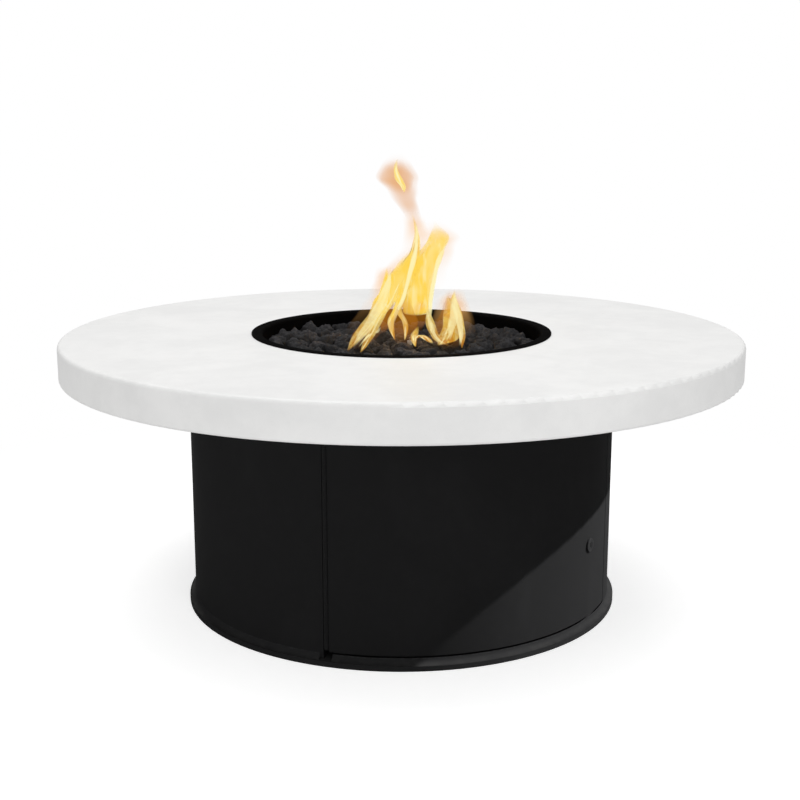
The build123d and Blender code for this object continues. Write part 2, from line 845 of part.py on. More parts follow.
def igniter_body():
    """The igniter's sleeve, clamped in the bracket, with its spark terminal at the back."""
    start = control_face - igniter_length
    front = control_face + igniter_bezel_height
    body = outward(Circle(igniter_diameter / 2), start, control_face, igniter_height)
    bezel = outward(Circle(igniter_bezel_diameter / 2), control_face, front, igniter_height)
    body += fillet(bezel.edges().group_by(Axis.Y)[0], edge_round)
    terminal = Circle(igniter_terminal_diameter / 2)
    body += outward(terminal, start - igniter_terminal_length, start, igniter_height)
    bore = Circle(button_diameter / 2 + running_fit)
    bottom = front + button_proud - button_length - button_travel - drop_gap
    body -= outward(bore, bottom, front, igniter_height)
    return round_about(door_middle) * body


def igniter_lock_nut():
    section = hexagon(igniter_nut) - Circle(igniter_diameter / 2 + running_fit)
    nut = outward(section, control_back - igniter_nut_height, control_back, igniter_height)
    return round_about(door_middle) * nut


def igniter_button():
    end = control_face + igniter_bezel_height + button_proud
    button = outward(Circle(button_diameter / 2), end - button_length, end, igniter_height)
    button = fillet(button.edges().group_by(Axis.Y)[0], edge_round)
    return round_about(door_middle) * button


def electrode_insulator():
    """The ceramic post that carries the spark tip up through the rocks."""
    bore = electrode_diameter / 2 + running_fit
    column = ring(bore, insulator_diameter / 2, pan_under - insulator_tail, bed_top)
    collar_top = pan_floor + insulator_collar_height
    column += ring(bore, insulator_collar_diameter / 2, pan_floor, collar_top)
    return electrode_place() * column


def electrode_rod():
    low = pan_under - insulator_tail - electrode_tail
    return electrode_place() * post(electrode_diameter / 2, low, bed_top + electrode_tip)


def electrode_lock_nut():
    section = hexagon(electrode_nut) - Circle(insulator_diameter / 2 + running_fit)
    low = pan_under - electrode_nut_height
    return electrode_place() * Pos(0, 0, low) * extrude(section, electrode_nut_height)


# Lava rock bed

def rock_rows():
    """Radii of the rock rows: rows inside the burner ring, one on the ring and rows out to the pan wall."""
    ring_radius = burner_ring_diameter / 2
    half = rock_pitch / 2
    inside = ring_radius - half
    outside = pan_inner - ring_radius - half
    inner_rows = max(1, round(inside / rock_pitch))
    outer_rows = max(1, round(outside / rock_pitch))
    return spread(0, inside, inner_rows) + [ring_radius] + spread(ring_radius + half, pan_inner, outer_rows)


def rock_seeds(chance):
    """One point in each rock: rows round the axis, shaken in plan and height."""
    shake = rock_jitter * rock_pitch
    level = bed_top - rock_crown * rock_pitch
    offset = door_middle - 90 + 180 / max(1, round(2 * math.pi * rock_rows()[0] / rock_pitch))
    seeds = []
    for row in rock_rows():
        count = max(1, round(2 * math.pi * row / rock_pitch))
        for index in range(count):
            turn = math.radians(offset + index * 360 / count) + chance.uniform(-shake, shake) / row
            radius = row + chance.uniform(-shake, shake) / 2
            height = level + chance.uniform(-shake, shake)
            seeds.append((row, (radius * math.cos(turn), radius * math.sin(turn), height)))
        offset += 180 / count
    return seeds


def half_space(normal, through):
    """The side of a plane that lies against its normal, as coefficients."""
    return [*normal, -sum(a * b for a, b in zip(normal, through))]


def neighbour_sides(seed, seeds):
    """Flats half-way to each rock close by, less half the gap between rocks."""
    sides = []
    for _, other in seeds:
        gap = [b - a for a, b in zip(seed, other)]
        distance = math.hypot(*gap)
        if 0 < distance < rock_neighbourhood * rock_pitch:
            normal = [part / distance for part in gap]
            reach = (distance - rock_gap) / 2
            sides.append(half_space(normal, [a + reach * n for a, n in zip(seed, normal)]))
    return sides


def pan_sides(row, seed):
    """Flats clear of the pan's wall and its floor bend, and of whatever the rock lies on."""
    x, y, _ = seed
    radius = math.hypot(x, y)
    out = (x / radius, y / radius)
    wall = math.sqrt((pan_inner - drop_gap) ** 2 - (rock_width * rock_pitch) ** 2)
    slope = math.sqrt(1 / 2)
    toe = (out[0] * wall, out[1] * wall, pan_floor + pan_floor_bend)
    floor = (burner_top if is_on_burner(row, y) else pan_floor) + drop_gap
    return [
        half_space((*out, 0), (out[0] * wall, out[1] * wall, 0)),
        half_space((out[0] * slope, out[1] * slope, -slope), toe),
        half_space((0, 0, -1), (0, 0, floor)),
    ]


def is_on_burner(row, y):
    """Whether a rock lies on the burner's ring or its cross tube."""
    ring_radius = burner_ring_diameter / 2
    on_cross_tube = row < ring_radius and abs(y) < burner_tube / 2 + drop_gap + rock_width * rock_pitch
    return row == ring_radius or on_cross_tube


def burner_sides(row, seed):
    """Flats clear of the burner's ring and cross tube beside the rock, and of the spark post."""
    x, y, _ = seed
    radius = math.hypot(x, y)
    out = (x / radius, y / radius)
    ring_radius = burner_ring_diameter / 2
    tube = burner_tube / 2 + drop_gap
    sides = []
    if row < ring_radius:
        limit = math.sqrt((ring_radius - tube) ** 2 - (rock_width * rock_pitch) ** 2)
        sides.append(half_space((*out, 0), (out[0] * limit, out[1] * limit, 0)))
        if not is_on_burner(row, y):
            away = -1 if y > 0 else 1
            sides.append(half_space((0, away, 0), (0, -away * tube, 0)))
    if row > ring_radius:
        limit = ring_radius + tube
        sides.append(half_space((-out[0], -out[1], 0), (out[0] * limit, out[1] * limit, 0)))
    pin = electrode_place().position
    gap = (pin.X - x, pin.Y - y)
    distance = math.hypot(*gap)
    normal = (gap[0] / distance, gap[1] / distance, 0)
    reach = distance - insulator_collar_diameter / 2 - drop_gap
    sides.append(half_space(normal, (x + normal[0] * reach, y + normal[1] * reach, 0)))
    return sides


def broken_sides(seed, chance):
    """A leaning crown and the chipped faces round it."""
    x, y, z = seed
    crown = chance.uniform(rock_crown - rock_crown_spread, rock_crown + rock_crown_spread) * rock_pitch
    lean = [chance.uniform(-rock_lean, rock_lean), chance.uniform(-rock_lean, rock_lean), 1]
    sides = [half_space([part / math.hypot(*lean) for part in lean], (x, y, z + crown))]
    start = chance.uniform(0, 2 * math.pi)
    for index in range(rock_chips):
        turn = start + 2 * math.pi * (index + chance.uniform(-chip_shake, chip_shake)) / rock_chips
        rise = math.radians(chance.uniform(*chip_rise))
        normal = (math.cos(turn) * math.cos(rise), math.sin(turn) * math.cos(rise), math.sin(rise))
        reach = chance.uniform(*chip_reach) * rock_pitch
        sides.append(half_space(normal, [a + n * reach for a, n in zip(seed, normal)]))
    return sides


def lava_rocks():
    """Loose broken rocks over the burner, each a closed convex lump a hair from its neighbours."""
    chance = random.Random(rock_seed)
    seeds = rock_seeds(chance)
    rocks = []
    for row, seed in seeds:
        sides = neighbour_sides(seed, seeds) + pan_sides(row, seed) + burner_sides(row, seed)
        sides = numpy.array(sides + broken_sides(seed, chance))
        corners = HalfspaceIntersection(sides, numpy.array(seed)).intersections
        rocks.append(ConvexPolyhedron([tuple(corner) for corner in corners]))
    return rocks


os.makedirs("parts", exist_ok=True)
save("concrete_top", concrete_top())
save("top_inserts", *[place * top_insert() for place in fixing_places()])
save("top_bolts", *[place * fixing_bolt() for place in fixing_places()])
save("top_ring", top_ring())
save("base_shell", base_shell())
save("door_header", door_header())
save("foot_ring", foot_ring())
save("vent_grilles", vent_grille(-1), vent_grille(1))
save("access_door", access_door())
save("hinge_leaf_fixed", hinge_leaf(-1))
save("hinge_leaf_door", hinge_leaf(1))
save("hinge_pin", hinge_pin())
save("hinge_rivets_fixed", *hinge_rivets(-1))
save("hinge_rivets_door", *hinge_rivets(1))
save("lock_housing", lock_housing())
save("lock_nut", lock_nut_ring())
save("lock_plug", lock_plug())
save("lock_cam", lock_cam())
save("cam_screw", cam_screw())
save("lock_strike", lock_strike())
save("strike_rivets", *strike_rivets())
save("fire_pan", fire_pan())
save("burner_ring", burner())
save("burner_locknut", burner_locknut())
save("air_mixer", air_mixer())
save("jet_fitting", jet_fitting())
save("gas_tube", gas_tube())
save("control_bracket", control_bracket())
save("bracket_bolts", *[place * bracket_bolt() for place in bracket_bolt_places()])
save("valve_body", valve_body())
save("valve_lock_nut", valve_lock_nut())
save("valve_stem", valve_stem())
save("control_knob", control_knob())
save("inlet_fitting", inlet_fitting())
save("outlet_nut", outlet_nut())
save("igniter_body", igniter_body())
save("igniter_lock_nut", igniter_lock_nut())
save("igniter_button", igniter_button())
save("electrode_insulator", electrode_insulator())
save("electrode_rod", electrode_rod())
save("electrode_lock_nut", electrode_lock_nut())
save("lava_rocks", *lava_rocks())
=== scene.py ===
"""Looks of a round gas fire pit table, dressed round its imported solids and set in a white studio."""

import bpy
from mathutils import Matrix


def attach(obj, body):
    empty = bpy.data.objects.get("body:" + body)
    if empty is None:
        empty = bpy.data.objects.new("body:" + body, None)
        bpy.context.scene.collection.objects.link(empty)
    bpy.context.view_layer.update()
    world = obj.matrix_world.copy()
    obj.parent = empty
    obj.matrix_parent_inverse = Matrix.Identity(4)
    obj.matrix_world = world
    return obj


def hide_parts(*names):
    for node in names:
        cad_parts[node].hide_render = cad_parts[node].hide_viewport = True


bl_info = {
    "name": "Fire pit table",
    "version": (1, 0, 0),
    "blender": (4, 5, 0),
    "location": "3D View > Sidebar > Fire pit",
    "description": "Dresses the packed fire pit table and sets its studio",
    "category": "Object",
}

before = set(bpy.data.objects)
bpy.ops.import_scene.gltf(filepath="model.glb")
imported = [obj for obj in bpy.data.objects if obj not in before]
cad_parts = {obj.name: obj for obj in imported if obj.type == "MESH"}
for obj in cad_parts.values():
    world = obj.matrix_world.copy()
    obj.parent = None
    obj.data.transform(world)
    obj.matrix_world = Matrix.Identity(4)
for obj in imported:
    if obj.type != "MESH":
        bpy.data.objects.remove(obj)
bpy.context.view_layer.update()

import math
import random

import bmesh
import bpy
import numpy
from bpy.props import FloatProperty, FloatVectorProperty, IntProperty, PointerProperty
from mathutils import Vector, noise

WALL_STEEL = ("base_shell", "door_header", "access_door", "hinge_leaf_fixed", "hinge_leaf_door", "hinge_pin",
              "hinge_rivets_fixed", "hinge_rivets_door", "vent_grilles")
STEELWORK = (*WALL_STEEL, "foot_ring", "top_ring", "strike_rivets", "lock_strike", "control_bracket")
STAINLESS = ("burner_ring", "air_mixer", "gas_tube", "electrode_rod")
ZINC = ("top_bolts", "top_inserts", "burner_locknut", "bracket_bolts", "lock_cam", "cam_screw", "lock_nut",
        "igniter_lock_nut", "electrode_lock_nut", "valve_stem")
BRASS = ("jet_fitting", "valve_body", "valve_lock_nut", "inlet_fitting", "outlet_nut")
LOCK = ("lock_housing", "lock_plug")
MOULDED = ("control_knob", "igniter_body")
WALL = (*WALL_STEEL, *LOCK)
DRUM = (*WALL, "foot_ring")

WHITE = (1.0, 1.0, 1.0)
ORIGIN = (0.0, 0.0, 0.0)
MM_PER_M = 1000

# Colours of wear, heat and dirt, and the painted shade in the concrete's pinholes and the lava's pores
SAND_SPECK = (0.62, 0.61, 0.59)
PAINTED_PINHOLE_SHADE = (0.4, 0.39, 0.37)
DRUM_DUST = (0.05, 0.048, 0.045)
RUBBED_COAT = (0.035, 0.035, 0.036)
BURNT_ENAMEL = (0.0046, 0.004, 0.0036)
PAN_ASH = (0.03, 0.029, 0.028)
RUBBED_ENAMEL = (0.012, 0.012, 0.0125)
HEAT_STRAW = (0.42, 0.27, 0.12)
HEAT_BLUE = (0.10, 0.12, 0.24)
ZINC_TARNISH = (0.48, 0.47, 0.42)
BRASS_TARNISH = (0.45, 0.27, 0.1)
CERAMIC_SMOKE = (0.2, 0.18, 0.16)
PAINTED_PORE_SHADE = (0.006, 0.006, 0.006)
LAVA_RUST = (0.075, 0.052, 0.042)

# How much lighter smears and rubbed edges are than the colour round them
SMEARED_COAT = 1.5
RUBBED_PLATE = 1.25
RUBBED_MOULDING, MOULDING_BLOOM = 1.6, 0.006

# Heights in metres over which the burner's heat stain and the insulator's smoke grow
HEATED_BAND = (0.405, 0.44)
SMOKED_BAND = (0.43, 0.468)

# Skin of the rocks: noise scales per metre, their shares in the swell, and the shape of the pores
LUMP_SCALE, LUMP_SHARE = 48.0, 0.6
CREASE_SCALE, CREASE_SHARE = 85.0, 0.8
FINE_CREASE_SCALE, FINE_CREASE_SHARE = 190.0, 0.5
CRUMB_SCALE, CRUMB_SHARE = 360.0, 0.16
SWELL_LEVEL = 0.5
PORE_SCALE, PORE_REACH, PORE_STEEPNESS = 150.0, 0.42, 1.6
ROCK_SEED = 5
ROCK_NOISE_SPREAD = 40
WELD_DISTANCE = 1e-5
LEAST_REACH = 1e-4


def colour_field(label, words, default):
    return FloatVectorProperty(name=label, description=words, subtype="COLOR", size=3, min=0.0, max=1.0,
                               default=default)


def length_field(label, words, default):
    return FloatProperty(name=label, description=words, unit="LENGTH", subtype="DISTANCE", min=0.0,
                         default=default, precision=5)


def share_field(label, words, default):
    return FloatProperty(name=label, description=words, subtype="FACTOR", min=0.0, max=1.0, default=default)


class FirePitConcrete(bpy.types.PropertyGroup):
    """The cast top."""
    colour: colour_field("Colour", "Pale cement of the sealed face", (0.87, 0.868, 0.86))
    cloud_colour: colour_field("Clouds", "Slightly greyer cement in the trowelled clouds",
                               (0.765, 0.765, 0.76))
    cloud_size: length_field("Cloud size", "Width of a trowelled cloud", 0.16)
    pinhole_size: length_field("Pinhole spacing", "Distance between pinholes", 0.022)
    roughness: share_field("Roughness", "Sheen of the sealer", 0.46)


class FirePitSteel(bpy.types.PropertyGroup):
    """Coated and bare metals."""
    coat_colour: colour_field("Powder coat", "Satin black of the drum", (0.0142, 0.0142, 0.0145))
    coat_roughness: share_field("Powder coat roughness", "Satin of the drum", 0.68)
    coat_grain: length_field("Powder coat grain", "Size of the coat's orange peel", 0.0012)
    pan_colour: colour_field("Pan enamel", "Heatproof black of the pan", (0.0022, 0.0022, 0.0023))
    stainless_colour: colour_field("Stainless", "Burner tube", (0.56, 0.55, 0.53))
    zinc_colour: colour_field("Zinc", "Plated fasteners", (0.62, 0.63, 0.65))
    brass_colour: colour_field("Brass", "Gas fittings", (0.74, 0.52, 0.22))
    lock_colour: colour_field("Lock", "Black plate of the cam lock", (0.012, 0.012, 0.0125))


class FirePitControls(bpy.types.PropertyGroup):
    """Moulded and ceramic pieces."""
    moulding_colour: colour_field("Mouldings", "Black plastic of the knob", (0.018, 0.018, 0.019))
    button_colour: colour_field("Button", "Red plastic of the igniter's button", (0.42, 0.018, 0.012))
    ceramic_colour: colour_field("Ceramic", "Insulator", (0.83, 0.81, 0.77))


class FirePitLava(bpy.types.PropertyGroup):
    """The rock bed."""
    dark_colour: colour_field("Dark rock", "Charcoal of the rock", (0.0155, 0.0152, 0.0163))
    pale_colour: colour_field("Pale rock", "Dusty grey of its broken faces", (0.066, 0.0645, 0.069))
    facets: IntProperty(name="Facets", description="Subdivisions of each rock's skin", min=2, max=5,
                        default=4)
    squareness: FloatProperty(name="Squareness", description="How closely a rock fills its solid", min=3.0,
                              max=30.0, default=9.0)
    lump_height: share_field("Lumps", "Height of the lumps as a share of the rock's reach", 0.34)
    pore_depth: length_field("Pore depth", "Depth of the burst gas pores", 0.0018)


class FirePitFlame(bpy.types.PropertyGroup):
    """The burning gas, which belongs to the stage."""
    heart_colour: colour_field("Heart", "Yellow inside the flame", (1.0, 0.67, 0.09))
    amber_colour: colour_field("Amber", "Cooler parts of the flame", (0.93, 0.47, 0.06))
    edge_colour: colour_field("Edge", "Pale yellow along the flame's folds", (1.0, 0.9, 0.47))
    ember_colour: colour_field("Foot", "Deep orange where the gas leaves the rocks", (0.58, 0.2, 0.015))
    halo_colour: colour_field("Halo", "Soft orange round the flame", (0.95, 0.5, 0.16))
    puff_colour: colour_field("Puff", "Darker orange of the gas that breaks away above", (0.78, 0.36, 0.1))
    glow: FloatProperty(name="Glow", description="Light that the flame throws on the rocks", unit="POWER",
                        min=0.0, default=0.8)


class FirePitStudio(bpy.types.PropertyGroup):
    """Camera, lamps and floor."""
    lens: FloatProperty(name="Lens", description="Focal length", unit="CAMERA", min=10.0, default=58.82)
    camera_distance: length_field("Camera distance", "From the aim point", 2.414)
    camera_height: FloatProperty(name="Camera elevation", description="Angle above the floor",
                                 unit="ROTATION", subtype="ANGLE", default=math.radians(12.255))
    aim_height: length_field("Aim height", "Height of the point looked at", 0.3616)
    side_shift: FloatProperty(name="Side shift", description="Sideways shift of the frame", default=-0.0018)
    floor_colour: colour_field("Floor", "Pale studio floor", (0.82, 0.82, 0.82))
    floor_lift: FloatProperty(name="Floor lift", description="Brightness added to the floor as seen",
                              default=0.555)
    ambient: FloatProperty(name="Ambient", description="Brightness of the studio all round", default=0.54)


# Shader helpers

def put(tree, kind, values=None, **settings):
    """Adds a node, with its settings and its sockets filled by values or links."""
    made = tree.nodes.new(kind)
    for name, value in settings.items():
        setattr(made, name, value)
    for socket, value in (values or {}).items():
        if isinstance(value, bpy.types.NodeSocket):
            tree.links.new(value, made.inputs[socket])
        else:
            made.inputs[socket].default_value = value
    return made


def calc(tree, operation, *terms, clamp=False):
    made = put(tree, "ShaderNodeMath", dict(enumerate(terms)), operation=operation, use_clamp=clamp)
    return made.outputs[0]


def times(tree, first, second, clamp=False):
    return calc(tree, "MULTIPLY", first, second, clamp=clamp)


def plus(tree, first, second, clamp=False):
    return calc(tree, "ADD", first, second, clamp=clamp)


def span(tree, value, low, high, to_low=0.0, to_high=1.0):
    """Takes one range of a value to another, smoothly and with both ends held."""
    values = {"Value": value, "From Min": low, "From Max": high, "To Min": to_low, "To Max": to_high}
    return put(tree, "ShaderNodeMapRange", values, interpolation_type="SMOOTHSTEP").outputs["Result"]


def tint(tree, factor, first, second):
    values = {0: factor, 6: first, 7: second}
    return put(tree, "ShaderNodeMix", values, data_type="RGBA").outputs[2]


def solid(colour):
    return (*colour, 1.0)


def cover(tree, mask, share, below, colour):
    """Lays a colour over what is below it, through a mask and at a share of its full strength."""
    return tint(tree, times(tree, mask, share), below, solid(colour))


def clouds(tree, where, scale, detail=3.0, rough=0.5, twist=0.0):
    values = {"Vector": where, "Scale": scale, "Detail": detail, "Roughness": rough, "Distortion": twist}
    return put(tree, "ShaderNodeTexNoise", values).outputs["Fac"]


def cells(tree, where, scale, output="Distance"):
    return put(tree, "ShaderNodeTexVoronoi", {"Vector": where, "Scale": scale}).outputs[output]


def stretched(tree, where, scale):
    return put(tree, "ShaderNodeMapping", {"Vector": where, "Scale": scale}).outputs["Vector"]


def surface_place(tree):
    return put(tree, "ShaderNodeTexCoord").outputs["Object"]


def upward(tree, vector):
    return put(tree, "ShaderNodeSeparateXYZ", {"Vector": vector}).outputs["Z"]


def new_group(name, inputs, output):
    """A shader group with number inputs and one number output."""
    group = bpy.data.node_groups.new(name, "ShaderNodeTree")
    for label, default in inputs.items():
        socket = group.interface.new_socket(label, in_out="INPUT", socket_type="NodeSocketFloat")
        socket.default_value = default
    group.interface.new_socket(output, in_out="OUTPUT", socket_type="NodeSocketFloat")
    start = group.nodes.new("NodeGroupInput")
    end = group.nodes.new("NodeGroupOutput")
    return group, start.outputs, end.inputs[0]


def use_group(tree, maker, **values):
    """Places a shared effect in a material, building it at its first use."""
    label, build = maker
    group = bpy.data.node_groups.get(label)
    if group is None:
        group = build(label)
    made = put(tree, "ShaderNodeGroup", node_tree=group)
    for name, value in values.items():
        made.inputs[name.replace("_", " ").capitalize()].default_value = value
    return made.outputs[0]


def build_mottle(label):
    """Soft clouds in two sizes, 0 to 1."""
    group, given, result = new_group(label, {"Scale": 6.0, "Fine scale": 30.0, "Fine share": 0.3}, "Mottle")
    where = surface_place(group)
    broad = clouds(group, where, given["Scale"], detail=4.0, rough=0.55, twist=0.6)
    fine = clouds(group, where, given["Fine scale"], rough=0.6)
    rest = calc(group, "SUBTRACT", 1.0, given["Fine share"])
    both = plus(group, times(group, broad, rest), times(group, fine, given["Fine share"]))
    group.links.new(span(group, both, 0.34, 0.66), result)
    return group


def build_grain(label):
    """A fine even grain for bumps."""
    group, given, result = new_group(label, {"Scale": 900.0, "Softness": 0.5}, "Height")
    where = surface_place(group)
    fine = clouds(group, where, given["Scale"], detail=2.0, rough=given["Softness"])
    group.links.new(fine, result)
    return group


def build_pinholes(label):
    """Scattered round holes: 1 inside a hole."""
    group, given, result = new_group(label, {"Scale": 45.0, "Reach": 0.05, "Share": 0.4}, "Hole")
    where = surface_place(group)
    far = cells(group, where, given["Scale"])
    pick = cells(group, where, given["Scale"], output="Color")
    lot = put(group, "ShaderNodeSeparateColor", {"Color": pick}).outputs["Red"]
    chosen = calc(group, "LESS_THAN", lot, given["Share"])
    size = times(group, given["Reach"], plus(group, lot, 0.5))
    hole = span(group, far, times(group, size, 0.6), size, 1.0, 0.0)
    group.links.new(times(group, hole, chosen), result)
    return group


def build_marks(label):
    """Smears and dried drops, 0 to 1, mostly low."""
    group, given, result = new_group(label, {"Scale": 9.0, "Low": 0.5, "High": 0.75}, "Marks")
    where = surface_place(group)
    drawn = stretched(group, where, (1.0, 1.0, 0.45))
    smear = clouds(group, drawn, given["Scale"], detail=5.0, rough=0.62, twist=0.8)
    group.links.new(span(group, smear, given["Low"], given["High"]), result)
    return group


def build_brushing(label):
    """Fine lines across the Z axis, as rolled or turned metal has."""
    group, given, result = new_group(label, {"Scale": 60.0, "Lines": 22.0}, "Lines")
    where = surface_place(group)
    squeeze = put(group, "ShaderNodeCombineXYZ", {"X": 1.0, "Y": 1.0, "Z": given["Lines"]}).outputs[0]
    along = stretched(group, where, squeeze)
    group.links.new(clouds(group, along, given["Scale"], rough=0.6), result)
    return group


def build_dust(label):
    """Dust that settles on faces turned up, 0 to 1."""
    group, given, result = new_group(label, {"Amount": 0.3, "Scale": 35.0}, "Dust")
    normal = put(group, "ShaderNodeNewGeometry").outputs["Normal"]
    facing = span(group, upward(group, normal), 0.3, 0.95)
    settled = clouds(group, surface_place(group), given["Scale"], detail=4.0, rough=0.65)
    patch = span(group, settled, 0.35, 0.7)
    group.links.new(times(group, times(group, facing, patch), given["Amount"]), result)
    return group


def build_worn_edges(label):
    """Rubbed edges and corners, broken up: 1 where the surface turns sharply."""
    group, given, result = new_group(label, {"Radius": 0.001, "Break up": 120.0}, "Edge")
    rounded = put(group, "ShaderNodeBevel", {"Radius": given["Radius"]}, samples=4).outputs[0]
    normal = put(group, "ShaderNodeNewGeometry").outputs["Normal"]
    same = put(group, "ShaderNodeVectorMath", {0: rounded, 1: normal}, operation="DOT_PRODUCT")
    edge = span(group, same.outputs["Value"], 0.93, 0.8)
    patch = span(group, clouds(group, surface_place(group), given["Break up"], rough=0.6), 0.42, 0.62)
    group.links.new(times(group, edge, patch), result)
    return group


MOTTLE = ("Cloudy mottle", build_mottle)
GRAIN = ("Fine grain", build_grain)
PINHOLES = ("Pinholes", build_pinholes)
MARKS = ("Handling marks", build_marks)
BRUSHING = ("Brushed lines", build_brushing)
DUST = ("Settled dust", build_dust)
WORN_EDGES = ("Worn edges", build_worn_edges)


def bare_tree(owner):
    """The emptied node tree of a new material or world."""
    owner.use_nodes = True
    owner.node_tree.nodes.clear()
    return owner.node_tree


def finish(name, **sockets):
    """A new material with one principled surface, whose plain sockets are set here."""
    material = bpy.data.materials.new(name)
    tree = bare_tree(material)
    surface = put(tree, "ShaderNodeBsdfPrincipled")
    for socket, value in sockets.items():
        surface.inputs[socket.replace("_", " ")].default_value = value
    put(tree, "ShaderNodeOutputMaterial", {"Surface": surface.outputs[0]})
    return material, tree, surface


def feed(tree, surface, **sockets):
    for socket, value in sockets.items():
        tree.links.new(value, surface.inputs[socket.replace("_", " ")])


def bump(tree, height, strength, distance):
    values = {"Height": height, "Strength": strength, "Distance": distance}
    return put(tree, "ShaderNodeBump", values).outputs[0]


def carried(names):
    """The objects of carried-over CAD nodes."""
    return [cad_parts[name] for name in names]


def dress(material, names):
    """Gives carried-over CAD nodes their finish."""
    for node in carried(names):
        node.data.materials.clear()
        node.data.materials.append(material)


# Finishes

def concrete_finish(look):
    material, tree, surface = finish("sealed white concrete", Specular_IOR_Level=0.35)
    broad = use_group(tree, MOTTLE, scale=1.0 / look.cloud_size, fine_scale=38.0, fine_share=0.3)
    sandy = use_group(tree, GRAIN, scale=420.0, softness=0.7)
    holes = use_group(tree, PINHOLES, scale=1.0 / look.pinhole_size, reach=0.045, share=0.35)
    smears = use_group(tree, MARKS, scale=5.0, low=0.5, high=0.8)
    colour = cover(tree, broad, 0.55, solid(look.colour), look.cloud_colour)
    speck = span(tree, sandy, 0.62, 0.74)
    colour = cover(tree, speck, 0.16, colour, SAND_SPECK)
    # Painted shade: the pinholes are painted darker, as the shade inside them
    colour = cover(tree, holes, 0.6, colour, PAINTED_PINHOLE_SHADE)
    sheen = plus(tree, times(tree, smears, 0.14), look.roughness)
    sheen = plus(tree, sheen, times(tree, holes, 0.3))
    relief = calc(tree, "SUBTRACT", times(tree, sandy, 0.3), holes)
    relief = plus(tree, relief, times(tree, broad, 0.8))
    feed(tree, surface, Base_Color=colour, Roughness=sheen, Normal=bump(tree, relief, 0.25, 0.0006))
    return material


def powder_coat_finish(look):
    material, tree, surface = finish("satin black powder coat", Specular_IOR_Level=0.006)
    peel = use_group(tree, GRAIN, scale=1.0 / look.coat_grain, softness=0.4)
    smears = use_group(tree, MARKS, scale=7.0, low=0.48, high=0.8)
    dust = use_group(tree, DUST, amount=0.25, scale=40.0)
    edge = use_group(tree, WORN_EDGES, radius=0.0012, break_up=160.0)
    lighter = tuple(channel * SMEARED_COAT for channel in look.coat_colour)
    colour = cover(tree, smears, 0.35, solid(look.coat_colour), lighter)
    colour = cover(tree, dust, 0.5, colour, DRUM_DUST)
    colour = cover(tree, edge, 0.35, colour, RUBBED_COAT)
    sheen = plus(tree, times(tree, smears, 0.12), look.coat_roughness)
    feed(tree, surface, Base_Color=colour, Roughness=sheen, Normal=bump(tree, peel, 0.12, 0.0003))
    return material


def pan_finish(look):
    material, tree, surface = finish("heatproof black enamel", Specular_IOR_Level=0.004)
    soot = use_group(tree, MOTTLE, scale=9.0, fine_scale=70.0, fine_share=0.4)
    peel = use_group(tree, GRAIN, scale=700.0, softness=0.5)
    dust = use_group(tree, DUST, amount=0.3, scale=60.0)
    edge = use_group(tree, WORN_EDGES, radius=0.001, break_up=140.0)
    colour = cover(tree, soot, 0.6, solid(look.pan_colour), BURNT_ENAMEL)
    colour = cover(tree, dust, 0.1, colour, PAN_ASH)
    colour = cover(tree, edge, 0.4, colour, RUBBED_ENAMEL)
    sheen = span(tree, soot, 0.0, 1.0, 0.7, 0.9)
    feed(tree, surface, Base_Color=colour, Roughness=sheen, Normal=bump(tree, peel, 0.15, 0.0003))
    return material


def stainless_finish(look):
    """Bare burner tube, straw and blue where the flame heats it."""
    material, tree, surface = finish("heated stainless", Metallic=1.0)
    lines = use_group(tree, BRUSHING, scale=55.0, lines=18.0)
    stain = use_group(tree, MOTTLE, scale=14.0, fine_scale=60.0, fine_share=0.35)
    height = upward(tree, surface_place(tree))
    hot = times(tree, span(tree, height, *HEATED_BAND), stain)
    colour = cover(tree, hot, 0.8, solid(look.stainless_colour), HEAT_STRAW)
    blue = span(tree, hot, 0.62, 0.95)
    colour = cover(tree, blue, 0.7, colour, HEAT_BLUE)
    sheen = span(tree, lines, 0.3, 0.7, 0.26, 0.46)
    feed(tree, surface, Base_Color=colour, Roughness=sheen, Normal=bump(tree, lines, 0.1, 0.0002))
    return material


def plated_finish(name, colour, tarnish, rough):
    """Zinc or brass: turned lines, tarnish in patches and bright rubbed edges."""
    material, tree, surface = finish(name, Metallic=1.0)
    lines = use_group(tree, BRUSHING, scale=90.0, lines=14.0)
    patch = use_group(tree, MOTTLE, scale=45.0, fine_scale=190.0, fine_share=0.4)
    edge = use_group(tree, WORN_EDGES, radius=0.0007, break_up=300.0)
    face = cover(tree, patch, 0.5, solid(colour), tarnish)
    bright = tuple(min(1.0, channel * RUBBED_PLATE) for channel in colour)
    face = cover(tree, edge, 0.6, face, bright)
    sheen = plus(tree, span(tree, lines, 0.3, 0.7, 0.0, 0.14), times(tree, patch, 0.14))
    sheen = plus(tree, sheen, rough)
    feed(tree, surface, Base_Color=face, Roughness=sheen, Normal=bump(tree, lines, 0.08, 0.0002))
    return material


def moulded_finish(name, colour, rough, gloss=0.4):
    """Fine-sparked moulded plastic, rubbed smooth and paler on its edges."""
    material, tree, surface = finish(name, Specular_IOR_Level=gloss)
    spark = use_group(tree, GRAIN, scale=1500.0, softness=0.6)
    smears = use_group(tree, MARKS, scale=40.0, low=0.45, high=0.75)
    edge = use_group(tree, WORN_EDGES, radius=0.0008, break_up=250.0)
    pale = tuple(channel * RUBBED_MOULDING + MOULDING_BLOOM for channel in colour)
    face = cover(tree, edge, 0.5, solid(colour), pale)
    face = cover(tree, smears, 0.25, face, pale)
    sheen = calc(tree, "SUBTRACT", rough, times(tree, smears, 0.12))
    feed(tree, surface, Base_Color=face, Roughness=sheen, Normal=bump(tree, spark, 0.18, 0.0002))
    return material


